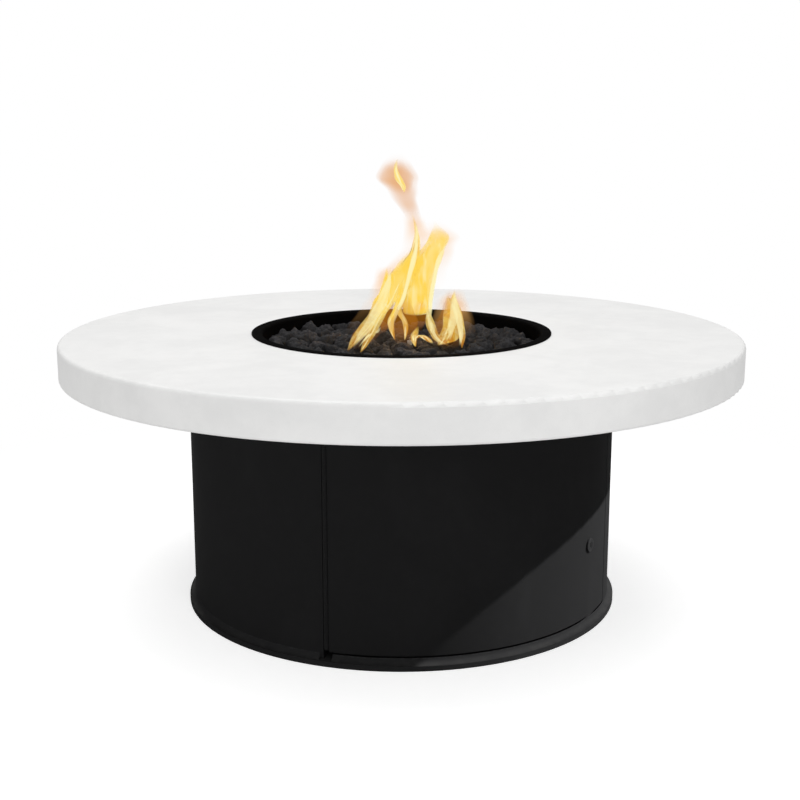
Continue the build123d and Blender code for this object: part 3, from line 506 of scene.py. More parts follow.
def ceramic_finish(look):
    """Unglazed insulator, smoked towards its tip."""
    material, tree, surface = finish("smoked ceramic")
    grain = use_group(tree, GRAIN, scale=1200.0, softness=0.6)
    smoke = use_group(tree, MOTTLE, scale=120.0, fine_scale=400.0, fine_share=0.4)
    height = upward(tree, surface_place(tree))
    high = span(tree, height, *SMOKED_BAND)
    colour = cover(tree, high, times(tree, smoke, 0.55), solid(look.ceramic_colour), CERAMIC_SMOKE)
    sheen = span(tree, grain, 0.3, 0.7, 0.42, 0.6)
    feed(tree, surface, Base_Color=colour, Roughness=sheen, Normal=bump(tree, grain, 0.12, 0.0002))
    return material


def lava_finish(look):
    """Porous charcoal rock: each lump its own grey, dusty on its crowns, with painted shade in its creases
    and painted near-black shade in its pores.
    """
    material, tree, surface = finish("porous lava", Specular_IOR_Level=0.2)
    shape = put(tree, "ShaderNodeNewGeometry").outputs
    patch = use_group(tree, MOTTLE, scale=45.0, fine_scale=260.0, fine_share=0.55)
    pores = use_group(tree, PINHOLES, scale=420.0, reach=0.42, share=0.75)
    grit = use_group(tree, GRAIN, scale=900.0, softness=0.75)
    dust = use_group(tree, DUST, amount=0.8, scale=90.0)
    rim = span(tree, shape["Pointiness"], 0.47, 0.56)
    lot = span(tree, shape["Random Per Island"], 0.0, 1.0, 0.1, 0.6)
    shade = times(tree, patch, lot)
    shade = plus(tree, shade, times(tree, dust, 0.35))
    # Painted shade: the rock is painted darker in its creases, where pointiness is low, and keeps its tone
    # on its rims
    shade = times(tree, shade, span(tree, rim, 0.0, 1.0, 0.25, 1.0), clamp=True)
    colour = tint(tree, shade, solid(look.dark_colour), solid(look.pale_colour))
    # Painted shade: the pores are painted near black, as the shade inside them
    colour = cover(tree, pores, 0.75, colour, PAINTED_PORE_SHADE)
    rusty = span(tree, shape["Random Per Island"], 0.8, 0.95)
    colour = cover(tree, rusty, 0.18, colour, LAVA_RUST)
    relief = calc(tree, "SUBTRACT", times(tree, grit, 0.7), pores)
    sheen = span(tree, grit, 0.3, 0.7, 0.78, 0.95)
    feed(tree, surface, Base_Color=colour, Roughness=sheen, Normal=bump(tree, relief, 0.7, 0.0012))
    return material


# Meshes

def new_piece(name, mesh, material):
    made = bpy.data.objects.new(name, mesh)
    bpy.context.scene.collection.objects.link(made)
    mesh.materials.append(material)
    return made


def smooth(mesh):
    mesh.polygons.foreach_set("use_smooth", [True] * len(mesh.polygons))


def ball_skin(subdivisions):
    """Directions and triangles of an even ball."""
    shape = bmesh.new()
    bmesh.ops.create_icosphere(shape, subdivisions=subdivisions, radius=1.0)
    shape.verts.ensure_lookup_table()
    directions = numpy.array([corner.co for corner in shape.verts])
    triangles = [[corner.index for corner in face.verts] for face in shape.faces]
    shape.free()
    return directions, triangles


def rock_solids(node):
    """Each rock of the CAD node as its centre and the flats round it."""
    shape = bmesh.new()
    shape.from_mesh(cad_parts[node].data)
    bmesh.ops.remove_doubles(shape, verts=shape.verts, dist=WELD_DISTANCE)
    shape.faces.ensure_lookup_table()
    waiting = set(shape.faces)
    rocks = []
    for seed in shape.faces:
        if seed not in waiting:
            continue
        waiting.discard(seed)
        island = [seed]
        for face in island:
            near = {other for edge in face.edges for other in edge.link_faces if other in waiting}
            waiting -= near
            island.extend(sorted(near, key=lambda other: other.index))
        corners = {corner.index: corner.co.copy() for face in island for corner in face.verts}
        centre = sum(corners.values(), Vector()) / len(corners)
        normals = numpy.array([face.normal for face in island])
        reaches = numpy.array([face.normal.dot(face.verts[0].co - centre) for face in island])
        rocks.append((centre, normals, reaches))
    shape.free()
    return rocks


def rock_reaches(directions, normals, reaches, squareness):
    """How far a rounded rock reaches each way inside its flats."""
    keys = numpy.round(numpy.column_stack((normals, reaches * MM_PER_M)), 3)
    _, first = numpy.unique(keys, axis=0, return_index=True)
    facing = numpy.maximum(directions @ normals[first].T, 0.0)
    closeness = facing / numpy.maximum(reaches[first], LEAST_REACH)
    return (closeness ** squareness).sum(axis=1) ** (-1.0 / squareness)


def rock_point(centre, direction, reach, look, offset):
    """A point of the rough skin: lumps and folds, with burst pores."""
    point = centre + direction * reach
    lumps = noise.noise(point * LUMP_SCALE + offset)
    fine_creases = abs(noise.noise(point * FINE_CREASE_SCALE + offset))
    creases = abs(noise.noise(point * CREASE_SCALE + offset)) + FINE_CREASE_SHARE * fine_creases
    crumbs = noise.noise(point * CRUMB_SCALE + offset)
    swell = LUMP_SHARE * lumps + CREASE_SHARE * creases + CRUMB_SHARE * crumbs - SWELL_LEVEL
    near = noise.voronoi(point * PORE_SCALE + offset)[0][0]
    pore = max(0.0, 1.0 - near / PORE_REACH)
    depth = look.pore_depth * min(1.0, PORE_STEEPNESS * pore)
    return centre + direction * (reach * (1.0 + look.lump_height * swell) - depth)


def lava_mesh(look):
    directions, triangles = ball_skin(look.facets)
    axes = [Vector(row) for row in directions]
    chance = random.Random(ROCK_SEED)
    points = []
    faces = []
    for centre, normals, reaches in rock_solids("lava_rocks"):
        lengths = rock_reaches(directions, normals, reaches, look.squareness)
        offset = Vector([chance.uniform(0, ROCK_NOISE_SPREAD) for _ in range(3)])
        base = len(points)
        points.extend(rock_point(centre, axis, reach, look, offset) for axis, reach in zip(axes, lengths))
        faces.extend([base + index for index in triangle] for triangle in triangles)
    mesh = bpy.data.meshes.new("lava_bed")
    mesh.from_pydata(points, [], faces)
    smooth(mesh)
    return mesh


def curve_through(points, count):
    """Evenly stepped points on a smooth line through rows of numbers."""
    rows = [points[0], *points, points[-1]]
    made = []
    for step in range(count):
        place = step * (len(points) - 1) / (count - 1)
        index = min(int(place), len(points) - 2)
        share = place - index
        before, start, end, after = rows[index:index + 4]
        made.append([0.5 * (2 * b + (c - a) * share + (2 * a - 5 * b + 4 * c - d) * share ** 2
                            + (3 * b - a - 3 * c + d) * share ** 3)
                     for a, b, c, d in zip(before, start, end, after)])
    return made


def tongue_mesh(name, rows, seed, swell=0.0, rings=48, sides=32):
    """A tongue of flame: a rippled oval skin along its line, each point with its share of the way up.

    Each row is x, y, z, half width and half depth in millimetres, and swell widens them all.
    """
    points = []
    shares = []
    for ring, (x, y, z, wide, deep) in enumerate(curve_through(rows, rings)):
        for index in range(sides):
            angle = 2 * math.pi * index / sides
            around = Vector((math.cos(angle), math.sin(angle), z / RIPPLE_LENGTH + seed))
            ripple = 1.0 + FLAME_RIPPLE * noise.noise(around)
            px = x + (ripple * max(wide, FLAME_THINNEST) + swell) * math.cos(angle)
            py = y + (ripple * max(deep, FLAME_THINNEST) + swell) * math.sin(angle)
            points.append((px / MM_PER_M, py / MM_PER_M, z / MM_PER_M))
            shares.append(ring / (rings - 1))
    faces = []
    for ring in range(rings - 1):
        for index in range(sides):
            following = (index + 1) % sides
            faces.append((ring * sides + index, ring * sides + following,
                          (ring + 1) * sides + following, (ring + 1) * sides + index))
    faces.append(tuple(reversed(range(sides))))
    faces.append(tuple(range((rings - 1) * sides, rings * sides)))
    mesh = bpy.data.meshes.new(name)
    mesh.from_pydata(points, [], faces)
    smooth(mesh)
    mesh.attributes.new("along", "FLOAT", "POINT").data.foreach_set("value", shares)
    return mesh


def streak_rows(rows, chance):
    """A thin line of gas inside a tongue: it keeps to one side of it and covers part of its length."""
    line = curve_through(rows, STREAK_STEPS * 3)
    start = chance.randrange(STREAK_STEPS)
    end = start + STREAK_STEPS + chance.randrange(STREAK_STEPS)
    side = chance.uniform(-STREAK_SIDE, STREAK_SIDE)
    depth = -math.sqrt(1.0 - side ** 2) * chance.uniform(*STREAK_DEPTH)
    thick = chance.uniform(*STREAK_WIDTH)
    made = []
    for index, (x, y, z, wide, deep) in enumerate(line[start:end]):
        taper = math.sin(math.pi * (index + 0.5) / (end - start))
        width = max(STREAK_THINNEST, thick * taper)
        made.append((x + side * wide, y + depth * deep, z, width, width))
    return made


# Flame and studio

# Flame, in millimetres and in shares of a tongue's half width or half depth
FLAME_RIPPLE = 0.36
RIPPLE_LENGTH = 26
FLAME_THINNEST = 0.3
STREAK_STEPS = 8
STREAK_SIDE = 0.75
STREAK_DEPTH = (0.5, 0.9)
STREAK_WIDTH = (0.7, 2.2)
STREAK_THINNEST = 0.2
STREAKS_EACH = 4
STREAK_SEED = 3
HAZE_SWELL = 20.0
HAZED_TONGUES = (0, 1, 2, 4, 11, 12)

# Steps between the ripples of one piece and the next
TONGUE_STEP, FOLD_STEP, VEIL_STEP, WISP_STEP = 7.3, 5.9, 4.3, 3.1

# Heights in metres: the flame's lift above its tables, and where its colours and density change
FLAME_LIFT = 0.005
FOOT_BAND = (0.478, 0.522)
THIN_BAND = (0.482, 0.54)
THREAD_BAND = (0.5, 0.62)
PALE_BAND = (0.6, 0.7)

# Light that the flame throws on the rocks
FLAME_GLOW_PLACE = (0.02, -0.01, 0.56)
FLAME_GLOW_COLOUR = (1.0, 0.62, 0.28)
FLAME_GLOW_SIZE = 0.05

# Shares of a piece's length over which it fades in at its foot or out at its tip
TONGUE_FOOT, TONGUE_TIP = (0.0, 0.14), (1.0, 0.62)
FOLD_FOOT = (0.0, 0.25)
HALO_FOOT = (0.0, 0.3)
HAZE_FOOT = (0.15, 0.65)
SOFT_TIP = (1.0, 0.7)

# Rows of x, y, z, half width and half depth in millimetres for each tongue, bright fold, dim veil and wisp
TONGUES = [
    [(26, 0, 514, 8, 4), (26, 0, 521, 24, 10), (31, 0, 549, 26, 15), (37, 0, 586, 25, 16),
     (44, 0, 612, 25, 15), (55, 0, 634, 24, 13), (65, 0, 649, 20, 11), (68, 0, 660, 15, 8),
     (65, 0, 671, 9, 6), (59, 0, 686, 1, 1)],
    [(8, 2, 566, 8, 8), (16, 2, 600, 15, 11), (25, 1, 632, 10, 8), (27, 0, 655, 5, 4), (26, 0, 672, 3, 3),
     (23, 0, 686, 2, 2), (18, 0, 700, 1, 1)],
    [(-92, -135, 474, 2, 2), (-80, -115, 488, 8, 6), (-60, -80, 508, 14, 9), (-36, -30, 534, 17, 10),
     (-20, -13, 564, 17, 11), (-6, -6, 592, 15, 10), (10, -2, 618, 9, 7), (24, 0, 642, 1, 1)],
    [(-70, -143, 472, 1, 1), (-62, -126, 484, 6, 5), (-48, -94, 504, 8, 6), (-34, -44, 528, 8, 6),
     (-26, -22, 550, 3, 3), (-22, -18, 566, 1, 1)],
    [(-40, -20, 545, 2, 2), (-33, -16, 560, 6, 5), (-27, -12, 580, 5, 4), (-27, -10, 604, 1, 1)],
    [(-2, -3, 528, 4, 4), (-3, -2, 552, 12, 9), (3, -1, 584, 17, 12), (16, 0, 612, 12, 9),
     (26, 0, 636, 2, 2)],
    [(-12, -26, 474, 1, 1), (-17, -22, 490, 5, 4), (-19, -18, 508, 6, 5), (-8, -12, 528, 7, 5),
     (0, -6, 552, 6, 5), (2, -4, 584, 1, 1)],
    [(6, -30, 474, 1, 1), (8, -26, 490, 4, 3), (6, -20, 506, 5, 4), (-4, -14, 524, 5, 4),
     (-2, -8, 546, 1, 1)],
    [(25, -78, 470, 1, 1), (22, -72, 482, 6, 5), (24, -64, 492, 6, 5), (30, -56, 504, 1, 1)],
    [(27, -74, 484, 1, 1), (34, -70, 489, 6, 5), (42, -70, 485, 7, 5), (50, -70, 478, 5, 4),
     (55, -70, 474, 1, 1)],
    [(48, -10, 526, 3, 3), (51, -45, 508, 7, 5), (57, -70, 494, 8, 6), (68, -88, 482, 8, 5),
     (86, -100, 474, 1, 1)],
    [(66, -94, 476, 3, 3), (80, -86, 484, 17, 9), (88, -62, 502, 17, 10), (90, -36, 520, 14, 9),
     (88, -18, 538, 8, 6), (82, -14, 553, 1, 1)],
    [(106, -102, 472, 1, 1), (107, -84, 488, 5, 4), (104, -48, 512, 7, 6), (98, -22, 534, 7, 6),
     (94, -16, 550, 4, 4), (97, -14, 564, 1, 1)],
    [(5, 0, 736, 1, 1), (3, 0, 747, 5, 4), (-4, 0, 758, 7, 5), (-9, 0, 770, 5, 4), (-10, 0, 783, 3, 3),
     (-7, 0, 796, 1, 1)],
]
FOLDS = [
    [(-16, -22, 496, 1, 1), (-10, -18, 520, 4, 3), (2, -17, 545, 4, 3), (12, -18, 580, 4, 3),
     (20, -18, 612, 5, 4), (26, -12, 640, 4, 3), (26, -4, 668, 2, 2), (22, 0, 686, 1, 1)],
    [(52, -12, 508, 1, 1), (52, -14, 530, 4, 3), (55, -15, 560, 4, 3), (62, -16, 598, 4, 3),
     (70, -15, 625, 4, 3), (82, -10, 648, 2, 2)],
    [(-84, -140, 478, 1, 1), (-66, -104, 500, 8, 5), (-46, -52, 526, 10, 6), (-30, -26, 556, 9, 6),
     (-22, -22, 584, 4, 3), (-20, -16, 604, 1, 1)],
    [(-74, -142, 480, 1, 1), (-56, -118, 498, 3, 3), (-44, -106, 500, 3, 3), (-36, -90, 508, 1, 1)],
    [(102, -106, 476, 1, 1), (105, -84, 494, 4, 3), (101, -48, 520, 7, 5), (95, -26, 544, 5, 4),
     (97, -18, 560, 1, 1)],
    [(50, -30, 520, 1, 1), (54, -68, 500, 3, 3), (64, -92, 486, 3, 3), (80, -106, 478, 1, 1)],
    [(84, -98, 484, 1, 1), (88, -76, 500, 5, 3), (94, -46, 520, 7, 5), (92, -28, 536, 4, 3),
     (86, -18, 548, 1, 1)],
    [(6, -12, 520, 1, 1), (22, -16, 519, 3, 2), (40, -16, 519, 3, 2), (50, -12, 522, 1, 1)],
    [(2, -6, 744, 1, 1), (-4, -8, 760, 2, 2), (-9, -8, 774, 2, 2), (-9, -4, 790, 1, 1)],
]
VEILS = [
    [(30, 44, 474, 4, 4), (27, 34, 500, 20, 10), (29, 22, 528, 27, 12), (26, 12, 556, 18, 10),
     (30, 8, 580, 1, 1)],
    [(-34, 36, 474, 2, 2), (-28, 28, 496, 12, 8), (-18, 18, 524, 14, 9), (-8, 8, 560, 1, 1)],
    [(-80, -124, 470, 6, 4), (-64, -96, 490, 22, 12), (-44, -62, 514, 24, 12), (-30, -30, 546, 14, 8),
     (-24, -20, 572, 1, 1)],
    [(4, -64, 470, 8, 4), (2, -52, 488, 24, 10), (2, -38, 508, 24, 10), (8, -22, 532, 14, 6),
     (12, -12, 556, 1, 1)],
    [(84, -108, 470, 8, 4), (82, -88, 488, 28, 12), (84, -64, 508, 26, 12), (88, -38, 534, 16, 8),
     (88, -22, 560, 1, 1)],
]
WISPS = [
    [(27, 0, 664, 3, 3), (23, 0, 688, 5, 5), (14, 0, 708, 8, 7), (6, 0, 724, 13, 11), (0, 0, 740, 21, 17),
     (-6, 0, 756, 26, 20), (-8, 0, 772, 24, 19), (-8, 0, 790, 15, 13), (-6, 0, 806, 2, 2)],
    [(4, 0, 722, 2, 2), (-2, 0, 738, 12, 10), (-8, 0, 752, 19, 15), (-11, 0, 766, 19, 15),
     (-10, 0, 782, 10, 9), (-8, 0, 796, 1, 1)],
]

# Softboxes: name, place, aim, size and power, and whether they reach the drum alone or all but its wall
SOFTBOXES = [
    ("overhead", (0.0, 0.3, 3.1), (0.0, 0.0, 0.3), (3.4, 3.0), 48.0, "EXCLUDE"),
    ("front_right", (1.0, -3.4, 1.7), (0.0, 0.0, 0.35), (1.6, 1.8), 29.5, "EXCLUDE"),
    ("front_left", (-3.0, -1.6, 1.8), (0.0, 0.0, 0.35), (1.6, 1.8), 9.5, "EXCLUDE"),
    ("back_right", (1.2, 3.4, 1.3), (0.0, 0.0, 0.25), (1.2, 1.6), 75.0, "INCLUDE"),
    ("back_left", (-1.4, 3.2, 0.7), (0.0, 0.0, 0.25), (1.0, 1.2), 45.0, "INCLUDE"),
    ("low_left", (-2.2, -2.6, 0.3), (0.0, 0.0, 0.1), (1.6, 0.5), 13.0, "INCLUDE"),
]

# The drum's own lamp, its angles in degrees, and the camera's sensor in millimetres
DRUM_LAMP_TURN = 93.0
DRUM_LAMP_RISE = 42.5
DRUM_LAMP_POWER = 8.8
DRUM_LAMP_DISTANCE = 4.0
DRUM_LAMP_SPREAD = 1.0
SENSOR_WIDTH = 36.0

# Floor: its size, and the distances from the middle where its lift begins and its shadow ends
FLOOR_RADIUS, FLOOR_SEGMENTS = 9.0, 96
FLOOR_LIFTED = (0.33, 0.385)
FLOOR_FADE = (0.75, 1.5)


def see_through(name):
    """A material that mixes a glow with what lies behind it."""
    material = bpy.data.materials.new(name)
    tree = bare_tree(material)
    glow = put(tree, "ShaderNodeEmission")
    clear = put(tree, "ShaderNodeBsdfTransparent")
    mixed = put(tree, "ShaderNodeMixShader", {1: clear.outputs[0], 2: glow.outputs[0]})
    put(tree, "ShaderNodeOutputMaterial", {"Surface": mixed.outputs[0]})
    return material, tree, glow, mixed


def flame_share(tree):
    """How far up its tongue a point lies, 0 to 1."""
    return put(tree, "ShaderNodeAttribute", attribute_name="along").outputs["Fac"]


def flame_ends(tree, foot):
    """Fades a piece of flame in over the shares of its foot and out over those of its tip."""
    share = flame_share(tree)
    return times(tree, span(tree, share, *foot), span(tree, share, *SOFT_TIP))


def flame_front(tree, power):
    """How far the skin of gas turns away, and 1 where it is seen square on, thinning to its outline."""
    facing = put(tree, "ShaderNodeLayerWeight", {"Blend": 0.5}).outputs["Facing"]
    return facing, calc(tree, "POWER", calc(tree, "SUBTRACT", 1.0, facing), power)


def flame_finish(look):
    """Burning gas: deep orange at its foot, amber and yellow above, pale in its threads and sides."""
    material, tree, glow, mixed = see_through("flame")
    where = surface_place(tree)
    height = upward(tree, where)
    drift = clouds(tree, stretched(tree, where, (1.0, 1.0, 0.35)), 27.0, detail=2.0, rough=0.45, twist=1.0)
    streaks = clouds(tree, stretched(tree, where, (1.0, 1.0, 0.12)), 120.0, detail=1.0, twist=0.4)
    facing, front = flame_front(tree, power=1.5)
    share = flame_share(tree)
    colour = tint(tree, span(tree, drift, 0.3, 0.48), solid(look.amber_colour), solid(look.heart_colour))
    sides = times(tree, span(tree, facing, 0.2, 0.6), 0.4)
    threads = plus(tree, streaks, span(tree, height, *THREAD_BAND, 0.0, -0.12))
    pale = plus(tree, sides, span(tree, threads, 0.48, 0.68, 0.0, 0.5))
    pale = plus(tree, pale, span(tree, drift, 0.52, 0.7, 0.0, 0.28))
    pale = plus(tree, pale, span(tree, height, *PALE_BAND, 0.0, 0.3), clamp=True)
    colour = tint(tree, pale, colour, solid(look.edge_colour))
    foot = times(tree, span(tree, height, *FOOT_BAND, 0.9, 0.0), span(tree, streaks, 0.62, 0.38, 0.25, 1.0))
    colour = tint(tree, foot, colour, solid(look.ember_colour))
    tree.links.new(colour, glow.inputs["Color"])
    body = times(tree, span(tree, drift, 0.26, 0.5, 0.72, 1.0), span(tree, share, *TONGUE_TIP))
    body = times(tree, body, span(tree, share, *TONGUE_FOOT, 0.3, 1.0))
    thin = span(tree, height, *THIN_BAND, 0.35, 0.0)
    body = times(tree, body, calc(tree, "SUBTRACT", 1.0, times(tree, thin, streaks)))
    tree.links.new(times(tree, front, body), mixed.inputs[0])
    return material


def fold_finish(look):
    """The brightest folds and streaks of the flame, fading to nothing at their outline and ends."""
    material, tree, glow, mixed = see_through("flame fold")
    glow.inputs["Color"].default_value = solid(look.edge_colour)
    _, front = flame_front(tree, power=1.6)
    body = times(tree, front, flame_ends(tree, FOLD_FOOT))
    tree.links.new(times(tree, body, 0.8), mixed.inputs[0])
    return material


def halo_finish(name, colour, strength, power, foot=HALO_FOOT):
    """Warm haze behind the flame that thins out to nothing at its outline and at both ends."""
    material, tree, glow, mixed = see_through(name)
    glow.inputs["Color"].default_value = solid(colour)
    _, front = flame_front(tree, power)
    body = times(tree, front, flame_ends(tree, foot))
    behind = put(tree, "ShaderNodeNewGeometry").outputs["Backfacing"]
    tree.links.new(times(tree, body, times(tree, behind, strength)), mixed.inputs[0])
    return material


def light_piece(name, rows, seed, material, **shape):
    """One tongue, streak or veil of the flame, its foot among the rocks."""
    piece = new_piece(name, tongue_mesh(name, rows, seed, **shape), material)
    piece.location.z = FLAME_LIFT


def light_pieces(kind, tables, step, material, **shape):
    """A numbered piece of flame for each table of rows, each with its own ripple."""
    for index, rows in enumerate(tables):
        light_piece(f"flame_{kind}_{index}", rows, index * step, material, **shape)


def seen(tree):
    """1 for what the camera sees directly."""
    return put(tree, "ShaderNodeLightPath").outputs["Is Camera Ray"]


def set_surroundings(scene, look):
    world = bpy.data.worlds.new("white studio")
    tree = bare_tree(world)
    strength = plus(tree, times(tree, seen(tree), 1.0 - look.ambient), look.ambient)
    sky = put(tree, "ShaderNodeBackground", {"Color": solid(WHITE), "Strength": strength})
    put(tree, "ShaderNodeOutputWorld", {"Surface": sky.outputs[0]})
    scene.world = world


def lay_floor(look):
    """A wide pale floor that keeps the table's shadow and is white where nothing shades it."""
    material = bpy.data.materials.new("studio floor")
    tree = bare_tree(material)
    matt = put(tree, "ShaderNodeBsdfDiffuse", {"Color": solid(look.floor_colour)})
    away = put(tree, "ShaderNodeVectorMath", {0: surface_place(tree)}, operation="LENGTH").outputs["Value"]
    outside = span(tree, away, *FLOOR_LIFTED, 0.0, look.floor_lift)
    lift = put(tree, "ShaderNodeEmission", {"Strength": times(tree, seen(tree), outside)})
    near = put(tree, "ShaderNodeAddShader", {0: matt.outputs[0], 1: lift.outputs[0]})
    share = times(tree, seen(tree), span(tree, away, *FLOOR_FADE))
    far = put(tree, "ShaderNodeEmission", {"Strength": 1.0})
    both = put(tree, "ShaderNodeMixShader", {0: share, 1: near.outputs[0], 2: far.outputs[0]})
    put(tree, "ShaderNodeOutputMaterial", {"Surface": both.outputs[0]})
    shape = bmesh.new()
    bmesh.ops.create_circle(shape, cap_ends=True, segments=FLOOR_SEGMENTS, radius=FLOOR_RADIUS)
    mesh = bpy.data.meshes.new("studio_floor")
    shape.to_mesh(mesh)
    shape.free()
    new_piece("studio_floor", mesh, material)


def aim(thing, target):
    thing.rotation_euler = (Vector(target) - thing.location).to_track_quat("-Z", "Y").to_euler()


def add_lamp(scene, name, kind, power, place, target):
    lamp = bpy.data.lights.new(name, kind)
    lamp.energy = power
    hung = bpy.data.objects.new(name, lamp)
    hung.location = place
    aim(hung, target)
    scene.collection.objects.link(hung)
    return hung


def flag(lamp, objects, state):
    """Lets a lamp reach these objects alone, or all but these."""
    held = bpy.data.collections.new(lamp.name + " flag")
    for thing in objects:
        held.objects.link(thing)
    for entry in held.collection_objects:
        entry.light_linking.link_state = state
    lamp.light_linking.receiver_collection = held


def hang_softbox(scene, name, place, target, size, power, state):
    """A soft rectangle of light, flagged to the drum or off it."""
    box = add_lamp(scene, name, "AREA", power, place, target)
    box.data.shape = "RECTANGLE"
    box.data.size, box.data.size_y = size
    flag(box, carried(DRUM if state == "INCLUDE" else WALL), state)


def hang_drum_lamp(scene):
    """A small far lamp at the right for the drum alone: the top's rim throws its edge across the door."""
    turn, rise = math.radians(DRUM_LAMP_TURN), math.radians(DRUM_LAMP_RISE)
    away = Vector((math.sin(turn) * math.cos(rise), -math.cos(turn) * math.cos(rise), math.sin(rise)))
    lamp = add_lamp(scene, "drum_lamp", "SUN", DRUM_LAMP_POWER, away * DRUM_LAMP_DISTANCE, ORIGIN)
    lamp.data.angle = math.radians(DRUM_LAMP_SPREAD)
    flag(lamp, carried(DRUM), "INCLUDE")


def set_camera(scene, look):
    camera = bpy.data.cameras.new("front")
    camera.lens = look.lens
    camera.sensor_width = SENSOR_WIDTH
    camera.shift_x = look.side_shift
    eye = bpy.data.objects.new("front", camera)
    level = look.camera_distance * math.cos(look.camera_height)
    rise = look.camera_distance * math.sin(look.camera_height)
    eye.location = (0.0, -level, look.aim_height + rise)
    aim(eye, (0.0, 0.0, look.aim_height))
    scene.collection.objects.link(eye)
    scene.camera = eye


# Operators

class FIREPIT_OT_concrete_top(bpy.types.Operator):
    """Gives the cast top its sealed concrete"""
    bl_idname = "firepit.concrete_top"
    bl_label = "Concrete top"

    def execute(self, context):
        dress(concrete_finish(context.scene.firepit_concrete), ["concrete_top"])
        return {"FINISHED"}


class FIREPIT_OT_drum(bpy.types.Operator):
    """Coats the drum, its door and the other sheet steel"""
    bl_idname = "firepit.drum"
    bl_label = "Drum and door"

    def execute(self, context):
        dress(powder_coat_finish(context.scene.firepit_steel), STEELWORK)
        return {"FINISHED"}


class FIREPIT_OT_burner_pan(bpy.types.Operator):
    """Coats the burner pan"""
    bl_idname = "firepit.burner_pan"
    bl_label = "Burner pan"

    def execute(self, context):
        dress(pan_finish(context.scene.firepit_steel), ["fire_pan"])
        return {"FINISHED"}


class FIREPIT_OT_gas_train(bpy.types.Operator):
    """Finishes the burner, the gas fittings and the bare fasteners"""
    bl_idname = "firepit.gas_train"
    bl_label = "Burner, gas fittings and fasteners"

    def execute(self, context):
        look = context.scene.firepit_steel
        dress(stainless_finish(look), STAINLESS)
        dress(plated_finish("zinc plate", look.zinc_colour, ZINC_TARNISH, rough=0.28), ZINC)
        dress(plated_finish("machined brass", look.brass_colour, BRASS_TARNISH, rough=0.22), BRASS)
        dress(moulded_finish("black lock plate", look.lock_colour, rough=0.6, gloss=0.06), LOCK)
        return {"FINISHED"}


class FIREPIT_OT_controls(bpy.types.Operator):
    """Finishes the knob, the igniter and the spark post"""
    bl_idname = "firepit.controls"
    bl_label = "Controls and spark post"

    def execute(self, context):
        look = context.scene.firepit_controls
        dress(moulded_finish("black moulding", look.moulding_colour, rough=0.58), MOULDED)
        dress(moulded_finish("red moulding", look.button_colour, rough=0.36), ["igniter_button"])
        dress(ceramic_finish(look), ["electrode_insulator"])
        return {"FINISHED"}


class FIREPIT_OT_lava(bpy.types.Operator):
    """Breaks the rock bed into rough, porous lumps"""
    bl_idname = "firepit.lava"
    bl_label = "Lava rock"

    def execute(self, context):
        look = context.scene.firepit_lava
        bed = new_piece("lava_bed", lava_mesh(look), lava_finish(look))
        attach(bed, "base")
        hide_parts("lava_rocks")
        return {"FINISHED"}


class FIREPIT_OT_flame(bpy.types.Operator):
    """Lights the burner: the flame belongs to the stage"""
    bl_idname = "firepit.flame"
    bl_label = "Flame"

    def execute(self, context):
        look = context.scene.firepit_flame
        gas, fold = flame_finish(look), fold_finish(look)
        haze = halo_finish("flame haze", look.halo_colour, strength=0.5, power=2.6, foot=HAZE_FOOT)
        puff = halo_finish("flame puff", look.puff_colour, strength=0.62, power=2.0)
        veil = halo_finish("flame veil", look.ember_colour, strength=0.45, power=1.8)
        chance = random.Random(STREAK_SEED)
        for index, rows in enumerate(TONGUES):
            light_piece(f"flame_tongue_{index}", rows, index * TONGUE_STEP, gas)
            for number in range(STREAKS_EACH):
                streak = streak_rows(rows, chance)
                light_piece(f"flame_streak_{index}_{number}", streak, number, fold, rings=24, sides=12)
        for index in HAZED_TONGUES:
            light_piece(f"flame_haze_{index}", TONGUES[index], 0.0, haze, swell=HAZE_SWELL)
        light_pieces("fold", FOLDS, FOLD_STEP, fold)
        light_pieces("veil", VEILS, VEIL_STEP, veil)
        light_pieces("wisp", WISPS, WISP_STEP, puff, swell=HAZE_SWELL / 2)
        glow = add_lamp(context.scene, "flame_glow", "POINT", look.glow, FLAME_GLOW_PLACE, ORIGIN)
        glow.data.color = FLAME_GLOW_COLOUR
        glow.data.shadow_soft_size = FLAME_GLOW_SIZE
        flag(glow, [bpy.data.objects["lava_bed"], *carried(["fire_pan"])], "INCLUDE")
        return {"FINISHED"}


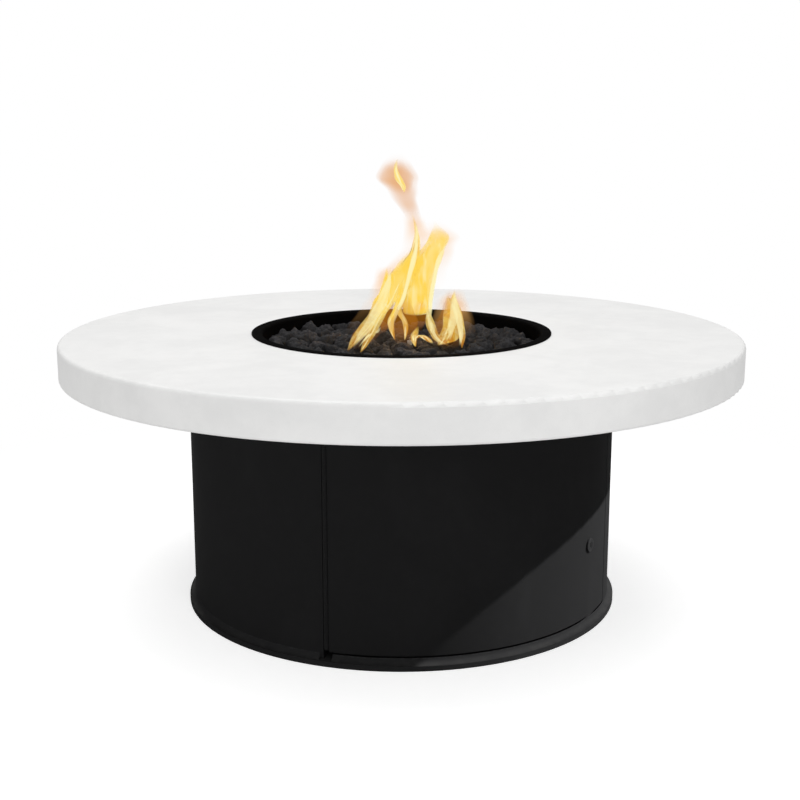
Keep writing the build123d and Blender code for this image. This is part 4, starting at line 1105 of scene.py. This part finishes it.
class FIREPIT_OT_studio(bpy.types.Operator):
    """Sets the floor, the lamps, the white surroundings and the camera"""
    bl_idname = "firepit.studio"
    bl_label = "Studio"

    def execute(self, context):
        scene = context.scene
        look = scene.firepit_studio
        scene.view_settings.view_transform = "Standard"
        set_surroundings(scene, look)
        lay_floor(look)
        for lamp in SOFTBOXES:
            hang_softbox(scene, *lamp)
        hang_drum_lamp(scene)
        set_camera(scene, look)
        return {"FINISHED"}


class FIREPIT_PT_panel(bpy.types.Panel):
    """Lists the table's pieces and their settings"""
    bl_label = "Fire pit table"
    bl_idname = "FIREPIT_PT_panel"
    bl_space_type = "VIEW_3D"
    bl_region_type = "UI"
    bl_category = "Fire pit"

    def draw(self, context):
        for settings in SETTINGS:
            box = self.layout.box()
            for field in settings.__annotations__:
                box.prop(getattr(context.scene, SETTINGS[settings]), field)
        for piece in PIECES:
            self.layout.operator(piece.bl_idname)


SETTINGS = {
    FirePitConcrete: "firepit_concrete",
    FirePitSteel: "firepit_steel",
    FirePitControls: "firepit_controls",
    FirePitLava: "firepit_lava",
    FirePitFlame: "firepit_flame",
    FirePitStudio: "firepit_studio",
}
PIECES = (FIREPIT_OT_concrete_top, FIREPIT_OT_drum, FIREPIT_OT_burner_pan, FIREPIT_OT_gas_train,
          FIREPIT_OT_controls, FIREPIT_OT_lava, FIREPIT_OT_flame, FIREPIT_OT_studio)


def register():
    for settings, name in SETTINGS.items():
        bpy.utils.register_class(settings)
        setattr(bpy.types.Scene, name, PointerProperty(type=settings))
    for piece in PIECES:
        bpy.utils.register_class(piece)
    bpy.utils.register_class(FIREPIT_PT_panel)


def unregister():
    bpy.utils.unregister_class(FIREPIT_PT_panel)
    for piece in reversed(PIECES):
        bpy.utils.unregister_class(piece)
    for settings, name in SETTINGS.items():
        delattr(bpy.types.Scene, name)
        bpy.utils.unregister_class(settings)


def main():
    register()
    bpy.ops.firepit.concrete_top()
    bpy.ops.firepit.drum()
    bpy.ops.firepit.burner_pan()
    bpy.ops.firepit.gas_train()
    bpy.ops.firepit.controls()
    bpy.ops.firepit.lava()
    bpy.ops.firepit.flame()
    bpy.ops.firepit.studio()
    bpy.context.view_layer.update()


if __name__ == "__main__":
    main()
